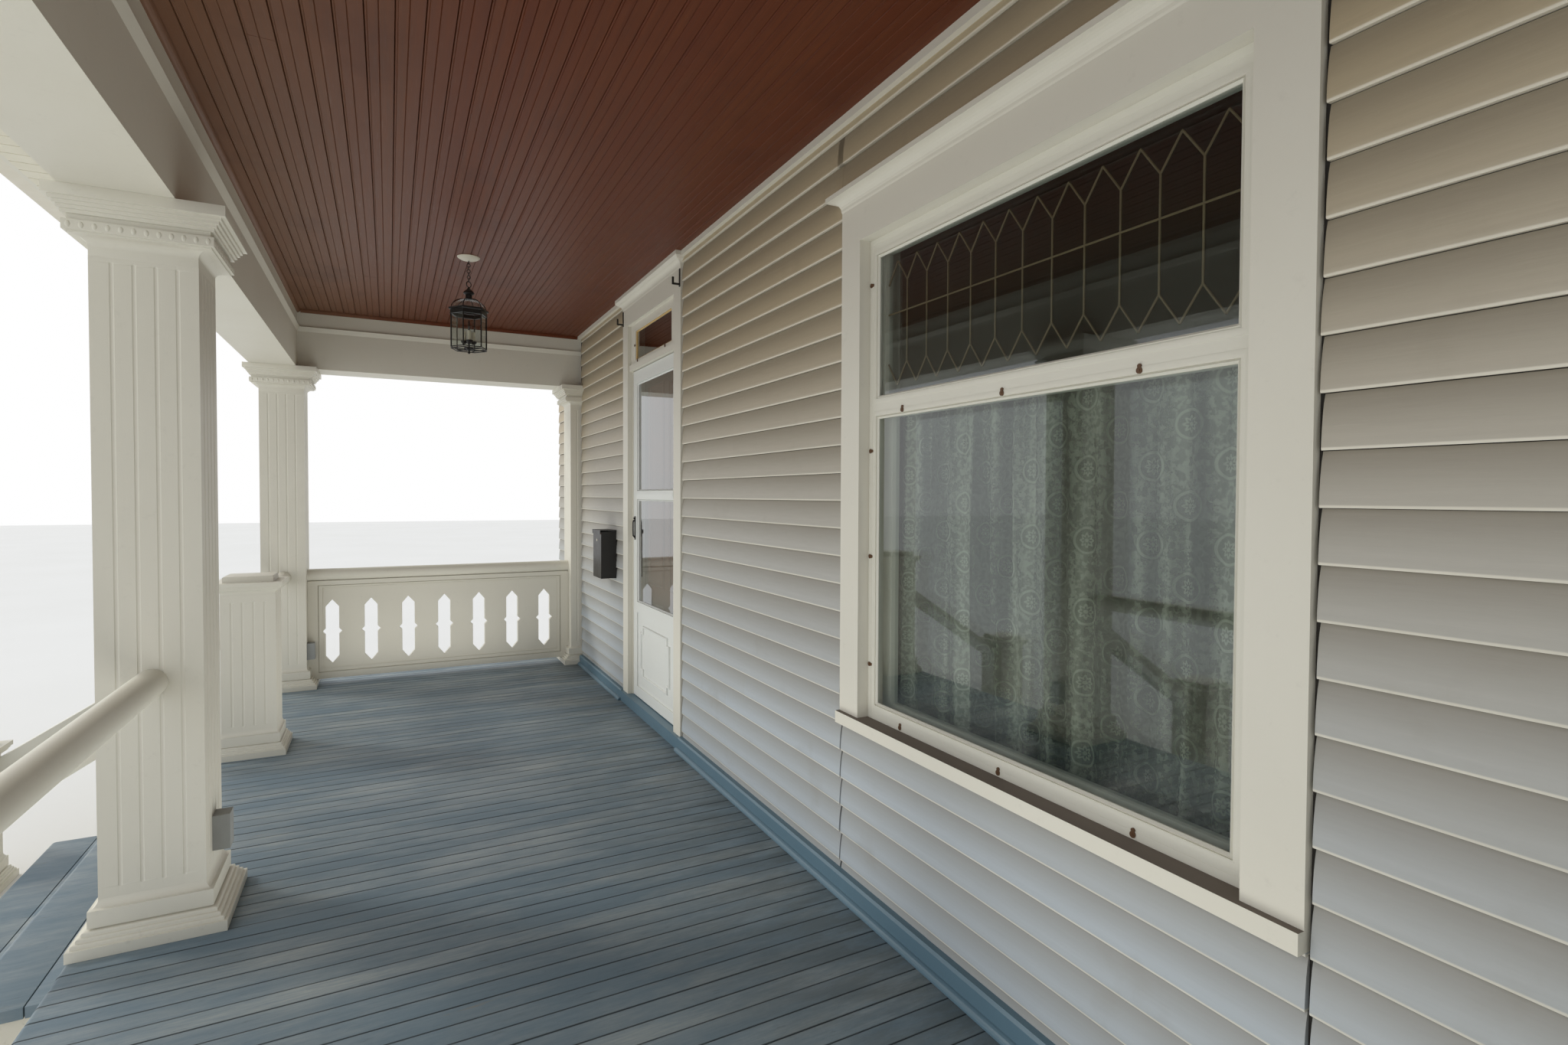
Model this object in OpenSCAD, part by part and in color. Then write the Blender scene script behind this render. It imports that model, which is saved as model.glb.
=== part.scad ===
// Front porch of a frame house: raised deck, fluted box columns, stair, storm door, window and hip roof.
// X runs along the porch, -Y faces the street, +Z is up. The origin is on the ground under the middle
// column's centre. Millimetres.

/* [Porch] */
// Distance between column centre lines along the front
bay_w = 3550; // [2400:10:4200]
// Distance from the column centre line to the face of the siding
porch_d = 2135; // [1600:5:3000]
// Height of the deck floor above the ground
deck_h = 540; // [450:5:700]
// Deck floor to the underside of the beams
beam_z = 2370; // [2200:5:2700]
// Deck floor to the ceiling boards
ceiling_z = 2800; // [2780:5:3000]
// House wall that shows past the eaves
wall_past = 60; // [30:5:600]

/* [House wall] */
// Thickness of the framed wall
wall_t = 150; // [100:5:250]
// Depth of the siding boards in front of the framed wall
siding_t = 15; // [8:1:30]
// Height of the framed wall above the deck
wall_h = 3760; // [3700:10:4500]
// Height of the floor board along the wall
base_board_h = 75; // [50:1:150]
// How far the floor board stands out from the siding
base_board_out = 25; // [10:1:45]
// Bevel on the floor board's upper edge
base_board_bevel = 8; // [2:1:15]
// Radius of the quarter round at the foot of the floor board
base_bead_r = 20; // [10:1:25]
// Trim strip where the wall meets the ceiling
wall_trim_h = 28; // [15:1:60]

/* [Deck] */
// Thickness of the floor boards
board_t = 25; // [18:1:40]
// Front edge of the floor beyond the column centre line
deck_out = 203; // [195:1:300]
// Height of the rim boards and joists
joist_h = 185; // [120:5:200]
// Thickness of the rim boards and joists
joist_t = 40; // [30:1:60]
// Largest spacing of the joists
joist_gap = 620; // [400:10:900]
// Side of the square piers
pier_w = 260; // [180:10:260]
// Thickness of the skirt boards
skirt_t = 20; // [12:1:30]

/* [Stair] */
// Depth of one tread from nosing to nosing
going = 330; // [260:5:360]
// Tread board thickness
tread_t = 38; // [25:1:50]
// Overhang of a tread past its riser
nosing = 28; // [10:1:40]
// Riser board thickness
riser_t = 20; // [12:1:30]
// Stringer thickness
stringer_t = 45; // [30:1:60]
// Upright depth of a stringer below its notches
stringer_d = 150; // [100:5:170]
// How far the treads run past the stringers
tread_over = 20; // [5:1:40]
// Centre of the stair's far side, from the middle column
pedestal_x = 1930; // [1200:5:2400]
// Lower newel centre in front of the column centre line
newel_y = 1195; // [1150:5:1500]
// Height of the lower newels above the ground
newel_h = 740; // [600:5:900]
// Side of the square stair rail
stair_rail_w = 90; // [60:1:110]
// Top of the stair rail at its upper end, above the deck
stair_rail_z = 700; // [600:5:800]

/* [Columns] */
// Side of the square column shaft
col_w = 275; // [220:1:340]
// Height of the column base above the deck
base_h = 157; // [120:1:220]
// Reach of the plinth beyond the shaft on each side
base_reach = 52.5; // [30:0.5:60]
// Height of the capital
cap_h = 190; // [150:1:260]
// Reach of the abacus beyond the shaft on each side
cap_reach = 90; // [60:1:120]
// Radius of a flute
flute_r = 9; // [5:0.5:14]
// Number of flutes on each face
flutes = 4; // [2:1:5]
// Plain shaft between the flutes and the capital
flute_top = 60; // [30:5:150]
// Plain shaft between the base and the flutes
flute_foot = 30; // [15:5:150]
// How far the pilasters stand out from the siding
pilaster_out = 85; // [40:1:130]

/* [Newels and rails] */
// Side of the newel shafts
newel_w = 250; // [200:1:300]
// Height of the newel bases
newel_base_h = 118; // [90:1:160]
// Reach of a newel base beyond its shaft
newel_base_reach = 45; // [25:1:60]
// Height of the stair pedestal above the deck
pedestal_h = 990; // [850:5:1100]
// Height of a newel cap
newel_cap_h = 100; // [90:1:130]
// Reach of the newel cap beyond its shaft
newel_cap_reach = 70; // [40:1:85]
// Diameter of the round rails
rail_d = 90; // [60:1:110]
// Height of the round rails' centre above the deck
rail_z = 830; // [750:5:1000]

/* [End panels] */
// Thickness of the cut-out board
panel_t = 26; // [18:1:40]
// Thickness of the frame around the cut-out board
panel_frame_t = 56; // [45:1:80]
// Gap between the deck and the panel
panel_gap = 40; // [20:1:80]
// Upright members of the panel's frame
panel_stile = 40; // [20:1:60]
// Level members of the panel's frame
panel_rail = 65; // [40:1:90]
// How far the row of cut-outs lies from the panel's middle towards the street
panel_shift = 22; // [0:1:60]
// Number of cut-outs
cutouts = 7; // [3:1:9]
// Spacing of the cut-outs
cutout_pitch = 259; // [150:1:300]
// Width of a cut-out
cutout_w = 91; // [60:1:120]
// Lowest point of the cut-outs above the deck
cutout_low = 150; // [120:1:200]
// Highest point of the cut-outs above the deck
cutout_high = 640; // [500:1:680]
// Reach of the side points from the cut-out's middle
cutout_reach = 66; // [50:1:90]

/* [Beams and roof] */
// Beam face outward of the column centre line
beam_out = 185; // [150:1:230]
// Beam face inward of the column centre line
beam_in = 95; // [60:1:130]
// Deck floor to the soffit
soffit_z = 2870; // [2850:5:3100]
// Height of the moulding on the beams above the deck
beam_band_z = 2640; // [2500:5:2700]
// Height of the moulding on the beams
beam_band_h = 34; // [20:1:60]
// How far the moulding stands out from the beam
beam_band_out = 16; // [5:1:30]
// Radius of the dark quarter round under the ceiling
ceiling_bead_r = 22; // [10:1:40]
// Thickness of the ceiling boards
ceiling_t = 20; // [12:1:30]
// Soffit width from beam to fascia
eave_w = 565; // [300:5:800]
// Thickness of the soffit boards
soffit_t = 15; // [8:1:25]
// Height of the fascia
fascia_h = 150; // [100:5:220]
// Thickness of the fascia
fascia_t = 20; // [15:1:40]
// Width of the gutter at its lip
gutter_w = 120; // [90:5:150]
// Height of the gutter
gutter_h = 100; // [80:5:120]
// Sheet thickness of the gutter
gutter_t = 4; // [3:1:6]
// Rise of the roof for one unit of run
roof_slope = 0.21; // [0.15:0.01:0.25]
// Thickness of the roof boards
roof_t = 30; // [20:1:60]
// Thickness of the roof covering
covering_t = 12; // [8:1:30]

/* [Door] */
// Width of the clear door opening
door_w = 963; // [850:1:1050]
// Centre of the door, from the middle column
door_x = -1436; // [-1600:1:-1200]
// Underside of the bar over the storm door, above the deck
door_head_z = 2290; // [2200:5:2400]
// Underside of the frame over the transom, above the deck
transom_top_z = 2600; // [2550:5:2640]
// Height of the bar between door and transom
transom_bar_h = 40; // [30:1:60]
// Step back from the casing to the bar, and from the bar to the transom's frame
transom_back = 12; // [6:1:20]
// Thickness of the transom's frame
transom_t = 30; // [20:1:40]
// Side members of the transom's frame
transom_side = 106; // [60:1:140]
// Bottom member of the transom's frame
transom_foot = 24; // [15:1:50]
// Top member of the transom's frame
transom_head = 50; // [30:1:80]
// Top of the door sill above the deck
sill_z = 70; // [50:1:90]
// Width of the flat casing boards
casing_w = 120; // [80:1:150]
// How far the casings stand out from the siding
casing_out = 6; // [2:1:20]
// Thickness of the jambs
jamb_t = 30; // [20:1:40]
// Storm door leaf width
leaf_w = 912; // [850:1:930]
// Storm door leaf thickness
leaf_t = 32; // [25:1:45]
// Storm door leaf face behind the casing face
leaf_back = 34; // [10:1:60]
// Running clearance around the leaf
leaf_gap = 6; // [5:0.5:10]
// Width of the leaf's side members
leaf_stile_w = 78; // [60:1:110]
// Height of the leaf's top member
leaf_top_h = 84; // [60:1:130]
// Bottom of the lower pane above the deck
leaf_lock_z = 720; // [650:5:900]
// Height of the member between pane and kick panel
leaf_lock_h = 70; // [40:1:140]
// Middle bar between the two panes, above the deck
leaf_bar_z = 1416; // [1200:1:1600]
// Height of the middle bar
leaf_bar_h = 56; // [30:1:80]
// Height of the leaf's bottom member
leaf_foot_h = 70; // [40:1:140]
// Thickness of window and door glass
glass_t = 5; // [3:1:8]
// Length of the door pull
pull_h = 160; // [100:5:220]
// Middle of the door pull above the deck
pull_z = 1220; // [1000:5:1300]

/* [Window] */
// Width of the window opening
window_w = 1380; // [1000:5:1600]
// Centre of the window, from the middle column
window_x = 1720; // [1500:5:2000]
// Top of the window sill above the deck
window_foot_z = 662; // [600:1:900]
// Top of the window opening above the deck
window_head_z = 2333; // [2100:1:2400]
// Height of the board over the window
window_head_h = 127; // [90:1:160]
// Height of the crown over the window
window_crown_h = 60; // [30:1:80]
// How far the crown stands out and overruns
window_crown_out = 45; // [20:1:70]
// Height of the sill board
window_sill_h = 42; // [30:1:60]
// How far the sill board stands out
window_sill_out = 25; // [10:1:50]
// Storm window frame behind the casing face
storm_back = 44; // [20:1:60]
// Storm window frame thickness
storm_t = 24; // [18:1:40]
// Storm window frame width at its sides
storm_side_w = 42; // [25:1:70]
// Bottom member of the storm window
storm_foot_h = 50; // [30:1:90]
// Top member of the storm window
storm_head_h = 56; // [30:1:90]
// Middle bar of the storm window above the deck
storm_bar_z = 1721; // [1400:1:1900]
// Height of the middle bar of the storm window
storm_bar_h = 60; // [30:1:80]

/* [Hinges] */
// Radius of the storm door's hinge barrels
barrel_r = 6; // [5:0.5:8]
// Height of one hinge
hinge_h = 70; // [50:5:100]
// Thickness of a hinge leaf
hinge_t = 2; // [1.5:0.5:3]
// Width of a hinge leaf
hinge_w = 17; // [14:1:18]
// Lowest hinge above the door's foot, and highest below its top
hinge_in = 180; // [120:10:300]

/* [Fittings] */
// Mailbox width
mailbox_w = 240; // [180:5:320]
// Mailbox depth
mailbox_d = 110; // [80:5:160]
// Sheet thickness of the mailbox
mailbox_t = 3; // [2:0.5:5]
// Radius of the mailbox hinge rod
rod_r = 3; // [2:0.5:4]
// Mailbox height
mailbox_h = 350; // [250:5:400]
// Mailbox foot above the deck
mailbox_z = 840; // [700:5:1100]
// Middle of the mailbox, from the middle column
mailbox_x = -2363; // [-2500:1:-2300]
// Foot of the hooks on the door casing, above the deck
hook_z = 2616; // [2000:1:2618]
// Middle of the lantern, from the middle column
lantern_x = -1500; // [-1800:5:-1000]
// Lantern in front of the siding
lantern_y = 1043; // [700:5:1400]
// Corner radius of the lantern's six-sided glass
lantern_r = 105; // [80:1:130]

/* [Hidden] */

// Overlap of a cut past the faces that it opens
cut = 1;
// Gap at which a loose or moving piece lies on its seat
seat = 0.3;

// Colours
cream = [0.83, 0.80, 0.69];
slate = [0.33, 0.42, 0.46];
floor_grey = [0.62, 0.64, 0.63];
stain = [0.27, 0.14, 0.10];
siding_tan = [0.72, 0.67, 0.56];
iron = [0.07, 0.07, 0.08];
pane = [0.35, 0.42, 0.45];
stone = [0.55, 0.53, 0.50];
asphalt = [0.26, 0.26, 0.27];
dark = [0.05, 0.05, 0.05];

// Where the main planes lie, above the ground and behind the column centre line
floor_z = deck_h;
end_x = bay_w;
wall_y = porch_d + siding_t;
wall_back = wall_y + wall_t;
deck_end = end_x + deck_out;
beam_low = floor_z + beam_z;
ceiling_low = floor_z + ceiling_z;
soffit_low = floor_z + soffit_z;
beam_top = soffit_low + soffit_t;
eave_y = -beam_out - eave_w;
eave_x = end_x + beam_out + eave_w;
wall_end = eave_x + fascia_t + wall_past;
casing_y = porch_d - casing_out;
rise = deck_h / 3;
frame_front = -deck_out + nosing + riser_t;
frame_end = deck_end - nosing - riser_t;
frame_low = floor_z - board_t - joist_h;

// Wall openings, with the jambs set inside them
door_rough = [door_x - door_w / 2 - jamb_t, door_x + door_w / 2 + jamb_t];
window_rough = [window_x - window_w / 2 - jamb_t, window_x + window_w / 2 + jamb_t];
door_top = floor_z + transom_top_z + jamb_t;
window_low = floor_z + window_foot_z - jamb_t;
window_top = floor_z + window_head_z + jamb_t;

// Storm door leaf, and its hinge line in front of its near edge
leaf_y = casing_y + leaf_back;
leaf_low = floor_z + sill_z + leaf_gap;
leaf_high = floor_z + door_head_z - leaf_gap;
leaf_left = door_x - leaf_w / 2;
leaf_right = door_x + leaf_w / 2;
frame_side = (door_w - leaf_w) / 2 - leaf_gap;
hinge_x = leaf_right + leaf_gap / 2;
hinge_y = leaf_y - barrel_r - 1;
hinge_feet = [leaf_low + hinge_in, (leaf_low + leaf_high - hinge_h) / 2, leaf_high - hinge_in - hinge_h];

// Sashes behind the storm window, and the curtain behind them
sash_y = casing_y + storm_back + storm_t + 8;
sash_t = 30;
sash_gap = 2;
curtain_d = 22;
curtain_y = sash_y + 2 * sash_t + sash_gap + 5;
curtain_top = floor_z + storm_bar_z + 80;

// Mailbox hinge line
lid_y = porch_d - rod_r - 5;
lid_z = floor_z + mailbox_z + mailbox_h - rod_r;

// A box given by its low and high corners
module block(low, high) {
    translate(low)
        cube(high - low);
}

// The pieces and their mirror image across the porch's middle
module both_ends() {
    children();
    mirror([1, 0, 0])
        children();
}

// A square moulding: the outline of reach and height runs round four mitred sides
module square_moulding(outline, half) {
    reach = max([for (p = outline) p[0]]) + half + cut;
    side = concat([[0, outline[0][1]]], [for (p = outline) [p[0] + half, p[1]]],
        [[0, outline[len(outline) - 1][1]]]);
    intersection() {
        for_both_sides(side, reach);
        rotate([0, 0, 90])
            for_both_sides(side, reach);
    }
}

// The outline mirrored to a full profile and run along X
module for_both_sides(side, reach) {
    flip = [for (i = [len(side) - 1:-1:0]) [-side[i][0], side[i][1]]];
    rotate([90, 0, 90])
        translate([0, 0, -reach])
            linear_extrude(2 * reach)
                polygon(concat(side, flip));
}

// Points of a quarter arc from angle a to angle b about a centre
function arc(centre, r, a, b, steps = 6) =
    [for (i = [0:steps]) let (t = a + (b - a) * i / steps) centre + r * [cos(t), sin(t)]];

// Square shaft with stopped flutes on each face, standing at z = 0
module fluted_shaft(width, height, faces = [0:3]) {
    pitch = width / (flutes + 1);
    low = flute_foot + flute_r;
    high = height - flute_top - flute_r;
    difference() {
        translate([-width / 2, -width / 2, 0])
            cube([width, width, height]);
        for (face = faces, i = [1:flutes])
            rotate([0, 0, 90 * face])
                translate([-width / 2 + i * pitch, -width / 2, 0])
                    flute(low, high);
    }
}

// One flute with rounded ends
module flute(low, high) {
    translate([0, 0, low])
        cylinder(h = high - low, r = flute_r, $fn = 24);
    for (z = [low, high])
        translate([0, 0, z])
            sphere(r = flute_r, $fn = 24);
}

// Outline of a base: plinth plate, ovolo, fillet, plain block and cove up to the shaft
function base_outline(h, reach) = let (
    plate = 0.14 * h,
    step = 0.15 * reach,
    ovolo = 0.42 * reach,
    cove = 0.12 * h,
    block = 0.24 * reach)
    concat([[reach, 0], [reach, plate], [reach - step, plate]],
        arc([reach - step - ovolo, plate], ovolo, 0, 90),
        [[block + 0.08 * reach, plate + ovolo], [block, plate + ovolo + 0.05 * h],
            [block, h - cove - block]],
        [for (p = arc([block, h], block, 270, 180)) p]);

// Outline of a column capital: cove, bead band, fillets, ovolo and square abacus
function capital_outline(h, reach) = concat(
    [[0, 0]],
    arc([0.42 * reach, 0], 0.42 * reach, 180, 90, 8),
    [[0.42 * reach, 0.34 * h], [0.48 * reach, 0.34 * h], [0.48 * reach, 0.52 * h],
        [0.42 * reach, 0.52 * h], [0.42 * reach, 0.56 * h], [0.56 * reach, 0.56 * h],
        [0.56 * reach, 0.62 * h]],
    arc([0.86 * reach, 0.62 * h], 0.3 * reach, 180, 120, 5),
    [[0.86 * reach, 0.84 * h], [reach, 0.84 * h], [reach, h]]);

// Outline of a newel cap: cove, plate, and the raised block on top
function newel_cap_outline(h, reach) = concat(
    [[0, 0]],
    arc([0.8 * reach, 0], 0.8 * reach, 180, 90),
    [[0.8 * reach, 0.58 * h], [reach, 0.58 * h], [reach, 0.76 * h], [0.36 * reach, 0.76 * h],
        [0.3 * reach, h]]);

// House wall

module foundation() {
    color(stone)
        block([-wall_end, wall_y, 0], [wall_end, wall_back, floor_z - board_t]);
}

module wall_far() {
    color(siding_tan)
        block([-wall_end, wall_y, floor_z - board_t], [door_rough[0], wall_back, floor_z + wall_h]);
}

module wall_over_door() {
    color(siding_tan)
        block([door_rough[0], wall_y, door_top], [door_rough[1], wall_back, floor_z + wall_h]);
}

module wall_mid() {
    color(siding_tan)
        block([door_rough[1], wall_y, floor_z - board_t], [window_rough[0], wall_back, floor_z + wall_h]);
}

// The wall under the window and the wall over it
module wall_window_bay() {
    color(siding_tan) {
        block([window_rough[0], wall_y, floor_z - board_t], [window_rough[1], wall_back, window_low]);
        block([window_rough[0], wall_y, window_top], [window_rough[1], wall_back, floor_z + wall_h]);
    }
}

module wall_near() {
    color(siding_tan)
        block([window_rough[1], wall_y, floor_z - board_t], [wall_end, wall_back, floor_z + wall_h]);
}

// Floor board with a quarter round at its foot, between the pilasters, with a return at the door sill
module base_board() {
    inner = end_x - col_w / 2 - base_reach;
    color(slate)
        for (run = [[-inner, door_x - door_w / 2 - casing_w], [door_x + door_w / 2 + casing_w, inner]])
            base_board_run(run[0], run[1]);
}

module base_board_run(from, to) {
    front = porch_d - base_board_out;
    profile = concat(
        [[wall_y, 0], [wall_y, base_board_h], [front + base_board_bevel, base_board_h],
            [front, base_board_h - base_board_bevel], [front, base_bead_r]],
        arc([front, 0], base_bead_r, 90, 180, 5));
    translate([from, 0, floor_z])
        rotate([90, 0, 90])
            linear_extrude(to - from)
                polygon(profile);
}

// Strip where the siding meets the ceiling, stopped at the door's crown
module wall_trim() {
    inner = end_x - beam_in;
    crown = door_w / 2 + casing_w + window_crown_out;
    color(cream)
        for (run = [[-inner, door_x - crown], [door_x + crown, inner]])
            block([run[0], porch_d - base_bead_r, ceiling_low - wall_trim_h],
                [run[1], wall_y, ceiling_low]);
}

// Deck and stair

module deck() {
    color(floor_grey)
        block([-deck_end, -deck_out, floor_z - board_t], [deck_end, wall_y, floor_z]);
}

// Rim boards on three sides, a ledger on the wall and joists between them
module deck_frame() {
    high = floor_z - board_t;
    x = frame_end;
    y = frame_front;
    joists = ceil(x / joist_gap) * 2;
    color(cream) {
        block([-x, y, frame_low], [x, y + joist_t, high]);
        block([-x, wall_y - joist_t, frame_low], [x, wall_y, high]);
        for (i = [0:joists]) {
            at = -x + (2 * x - joist_t) * i / joists;
            block([at, y + joist_t, frame_low], [at + joist_t, wall_y - joist_t, high]);
        }
    }
}

// Piers under the columns and the pedestal, and against the foundation
module deck_piers() {
    half = pier_w / 2;
    color(stone)
        for (x = [-end_x, -pedestal_x, 0, bay_w / 2, end_x], y = [0, wall_y - half])
            block([x - half, y - half, 0], [x + half, y + half, frame_low]);
}

// Board skirt below the rim at the front and the ends, open where the stair stands
module skirt() {
    x = frame_end;
    y = frame_front;
    stair = pedestal_x + stringer_t / 2;
    color(cream) {
        block([-x, y, 0], [-stair, y + skirt_t, frame_low]);
        block([stringer_t / 2, y, 0], [x, y + skirt_t, frame_low]);
        for (side = [-x, x - skirt_t])
            block([side, y + skirt_t, 0], [side + skirt_t, wall_y, frame_low]);
    }
}

// Nosing line of each tread, and of the floor as the last one
function tread_front(i) = -deck_out - going * (2 - i);

// Back of the riser under each nosing
function riser_back(i) = tread_front(i) + nosing + riser_t;

// Notched stringers from the ground up to the rim
module stair_stringers() {
    slope = rise / going;
    back = riser_back(2);
    foot = 2 * rise - tread_t - stringer_d;
    color(cream)
        for (x = [-pedestal_x, 0])
            translate([x - stringer_t / 2, 0, 0])
                rotate([90, 0, 90])
                    linear_extrude(stringer_t)
                        polygon([[riser_back(0), 0], [riser_back(0), rise - tread_t],
                            [riser_back(1), rise - tread_t], [riser_back(1), 2 * rise - tread_t],
                            [back, 2 * rise - tread_t], [back, foot], [back - foot / slope, 0]]);
}

module stair_treads() {
    color(floor_grey)
        for (i = [0:1])
            block([-pedestal_x - stringer_t / 2 - tread_over, tread_front(i), rise * (i + 1) - tread_t],
                [stringer_t / 2 + tread_over, riser_back(i + 1), rise * (i + 1)]);
}

module stair_risers() {
    color(cream)
        for (i = [0:2])
            block([-pedestal_x - stringer_t / 2, riser_back(i) - riser_t, rise * i],
                [stringer_t / 2, riser_back(i), rise * (i + 1) - (i < 2 ? tread_t : board_t)]);
}

// Columns

module at_columns() {
    for (x = [-end_x, 0, end_x])
        translate([x, 0, floor_z])
            children();
}

module column_bases() {
    color(cream)
        at_columns()
            square_moulding(base_outline(base_h, base_reach), col_w / 2);
}

module column_shafts() {
    color(cream)
        at_columns()
            translate([0, 0, base_h])
                fluted_shaft(col_w, beam_z - base_h - cap_h);
}

module column_capitals() {
    color(cream)
        at_columns()
            translate([0, 0, beam_z - cap_h])
                square_moulding(capital_outline(cap_h, cap_reach), col_w / 2);
}

// The same column, sunk in the wall so that only its front stands out
module wall_pilasters() {
    centre = porch_d - pilaster_out + col_w / 2;
    color(cream)
        both_ends()
            intersection() {
                translate([end_x, centre, floor_z]) {
                    square_moulding(base_outline(base_h, base_reach), col_w / 2);
                    translate([0, 0, base_h])
                        fluted_shaft(col_w, beam_z - base_h - cap_h, [0]);
                    translate([0, 0, beam_z - cap_h])
                        square_moulding(capital_outline(cap_h, cap_reach), col_w / 2);
                }
                block([0, 0, floor_z - cut], [2 * end_x, wall_y, beam_low + cut]);
            }
}

// Newels and rails

module newel(height) {
    square_moulding(base_outline(newel_base_h, newel_base_reach), newel_w / 2);
    translate([0, 0, newel_base_h])
        fluted_shaft(newel_w, height - newel_base_h - newel_cap_h);
}

// The pedestal at the head of the stair and the two newels at its foot
module stair_newels() {
    color(cream) {
        translate([-pedestal_x, 0, floor_z])
            newel(pedestal_h);
        for (x = [-pedestal_x, 0])
            translate([x, -newel_y, 0])
                newel(newel_h);
    }
}

module newel_caps() {
    color(cream)
        for (foot = [[-pedestal_x, 0, floor_z + pedestal_h], [-pedestal_x, -newel_y, newel_h],
                [0, -newel_y, newel_h]])
            translate(foot - [0, 0, newel_cap_h])
                square_moulding(newel_cap_outline(newel_cap_h, newel_cap_reach), newel_w / 2);
}

// Round rails: near bay, pedestal to far column, and over the two end panels
module round_rails() {
    z = floor_z + rail_z;
    color(cream) {
        for (run = [[col_w / 2, end_x - col_w / 2], [-end_x + col_w / 2, -pedestal_x - newel_w / 2]])
            translate([run[0], 0, z])
                rotate([0, 90, 0])
                    cylinder(h = run[1] - run[0], d = rail_d, $fn = 48);
        both_ends()
            translate([end_x, porch_d - pilaster_out, z])
                rotate([90, 0, 0])
                    cylinder(h = porch_d - pilaster_out - col_w / 2, d = rail_d, $fn = 48);
    }
}

// Outline of one cut-out: pointed at both ends, with a side point each way
module cutout() {
    half = cutout_w / 2;
    low = cutout_low;
    high = cutout_high;
    mid = (low + high) / 2 - 10;
    ear = 28;
    polygon([[0, low], [half, low + half * 1.15], [half, mid - ear], [cutout_reach, mid],
        [half, mid + ear], [half, high - half * 1.15], [0, high], [-half, high - half * 1.15],
        [-half, mid + ear], [-cutout_reach, mid], [-half, mid - ear], [-half, low + half * 1.15]]);
}

// Outline of an end panel across the porch, less an inset
module panel_outline(side, ends) {
    low = panel_gap + ends;
    high = rail_z - rail_d / 2 - ends;
    from = col_w / 2 + side;
    to = porch_d - pilaster_out - side;
    polygon([[from, low], [to, low], [to, high], [from, high]]);
}

// Cut-out boards in moulded frames, scribed round the bases of the end columns and pilasters
module end_panels() {
    middle = (col_w / 2 + porch_d - pilaster_out) / 2 - panel_shift;
    color(cream)
        both_ends()
            difference() {
                translate([end_x, 0, floor_z]) {
                    panel_layer(-panel_t / 2, panel_t)
                        difference() {
                            panel_outline(0, 0);
                            for (i = [0:cutouts - 1])
                                translate([middle + (i - (cutouts - 1) / 2) * cutout_pitch, 0])
                                    cutout();
                        }
                    for (side = [-panel_frame_t / 2, panel_t / 2])
                        panel_layer(side, (panel_frame_t - panel_t) / 2)
                            difference() {
                                panel_outline(0, 0);
                                panel_outline(panel_stile, panel_rail);
                            }
                }
                translate([end_x, 0, floor_z])
                    square_moulding(base_outline(base_h, base_reach), col_w / 2);
                translate([end_x, porch_d - pilaster_out + col_w / 2, floor_z])
                    square_moulding(base_outline(base_h, base_reach), col_w / 2);
            }
}

// A flat layer of an end panel, from one side of its middle plane
module panel_layer(from, thick) {
    rotate([90, 0, 90])
        translate([0, 0, from])
            linear_extrude(thick)
                children();
}

// Sloping rails from the column and the pedestal down to the lower newels
module stair_rails() {
    front = -newel_y + newel_w / 2;
    foot = newel_h - newel_cap_h;
    color(cream)
        for (rail = [[0, -col_w / 2], [-pedestal_x, -newel_w / 2]]) {
            back = rail[1];
            top = floor_z + stair_rail_z;
            slope = (top - foot) / (back - front);
            upright = stair_rail_w * sqrt(1 + slope * slope);
            translate([rail[0] - stair_rail_w / 2, 0, 0])
                rotate([90, 0, 90])
                    linear_extrude(stair_rail_w)
                        polygon([[back, top], [front, foot], [front, foot - upright], [back, top - upright]]);
        }
}

// Beams, ceiling and roof

// Beam section across its length: inward is +Y, with a moulding on both faces
function beam_section(out, inw) = let (
    low = beam_low,
    band = floor_z + beam_band_z,
    high = band + beam_band_h,
    step = beam_band_out)
    [[-out, low], [inw, low], [inw, band], [inw + step, high], [inw, high + 4], [inw, beam_top],
        [-out, beam_top]];

module front_beam() {
    x = end_x + beam_out;
    color(cream)
        translate([-x, 0, 0])
            rotate([90, 0, 90])
                linear_extrude(2 * x)
                    polygon(beam_section(beam_out, beam_in));
}

// End beams from the wall to the front beam, cut round its moulding
module end_beams() {
    color(cream)
        both_ends()
            difference() {
                translate([end_x, wall_y, 0])
                    rotate([90, 0, 0])
                        linear_extrude(wall_y - beam_in)
                            mirror([1, 0])
                                polygon(beam_section(beam_out, beam_in));
                front_beam();
            }
}

module ceiling() {
    x = end_x - beam_in;
    color(stain)
        block([-x, beam_in, ceiling_low], [x, wall_y, ceiling_low + ceiling_t]);
}

// Dark quarter round under the ceiling, along the beams
module ceiling_moulding() {
    x = end_x - beam_in;
    profile = concat([[0, 0]], arc([0, 0], ceiling_bead_r, 0, -90, 5));
    color(stain) {
        translate([-x, beam_in, ceiling_low])
            rotate([90, 0, 90])
                linear_extrude(2 * x)
                    polygon(profile);
        for (side = [-1, 1])
            translate([side * x, porch_d - base_bead_r, ceiling_low])
                rotate([90, 0, 0])
                    linear_extrude(porch_d - base_bead_r - beam_in - ceiling_bead_r)
                        mirror([side > 0 ? 1 : 0, 0])
                            polygon(profile);
    }
}

// A frame in plan that follows the eaves on three sides, from one offset to another
module eave_band(inner, outer) {
    x = end_x + beam_out;
    difference() {
        translate([-x - outer, -beam_out - outer])
            square([2 * (x + outer), beam_out + outer + wall_y]);
        translate([-x - inner, -beam_out - inner])
            square([2 * (x + inner), beam_out + inner + wall_y + cut]);
    }
}

module soffit() {
    color(cream)
        translate([0, 0, soffit_low])
            linear_extrude(soffit_t)
                eave_band(0, eave_w);
}

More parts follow.
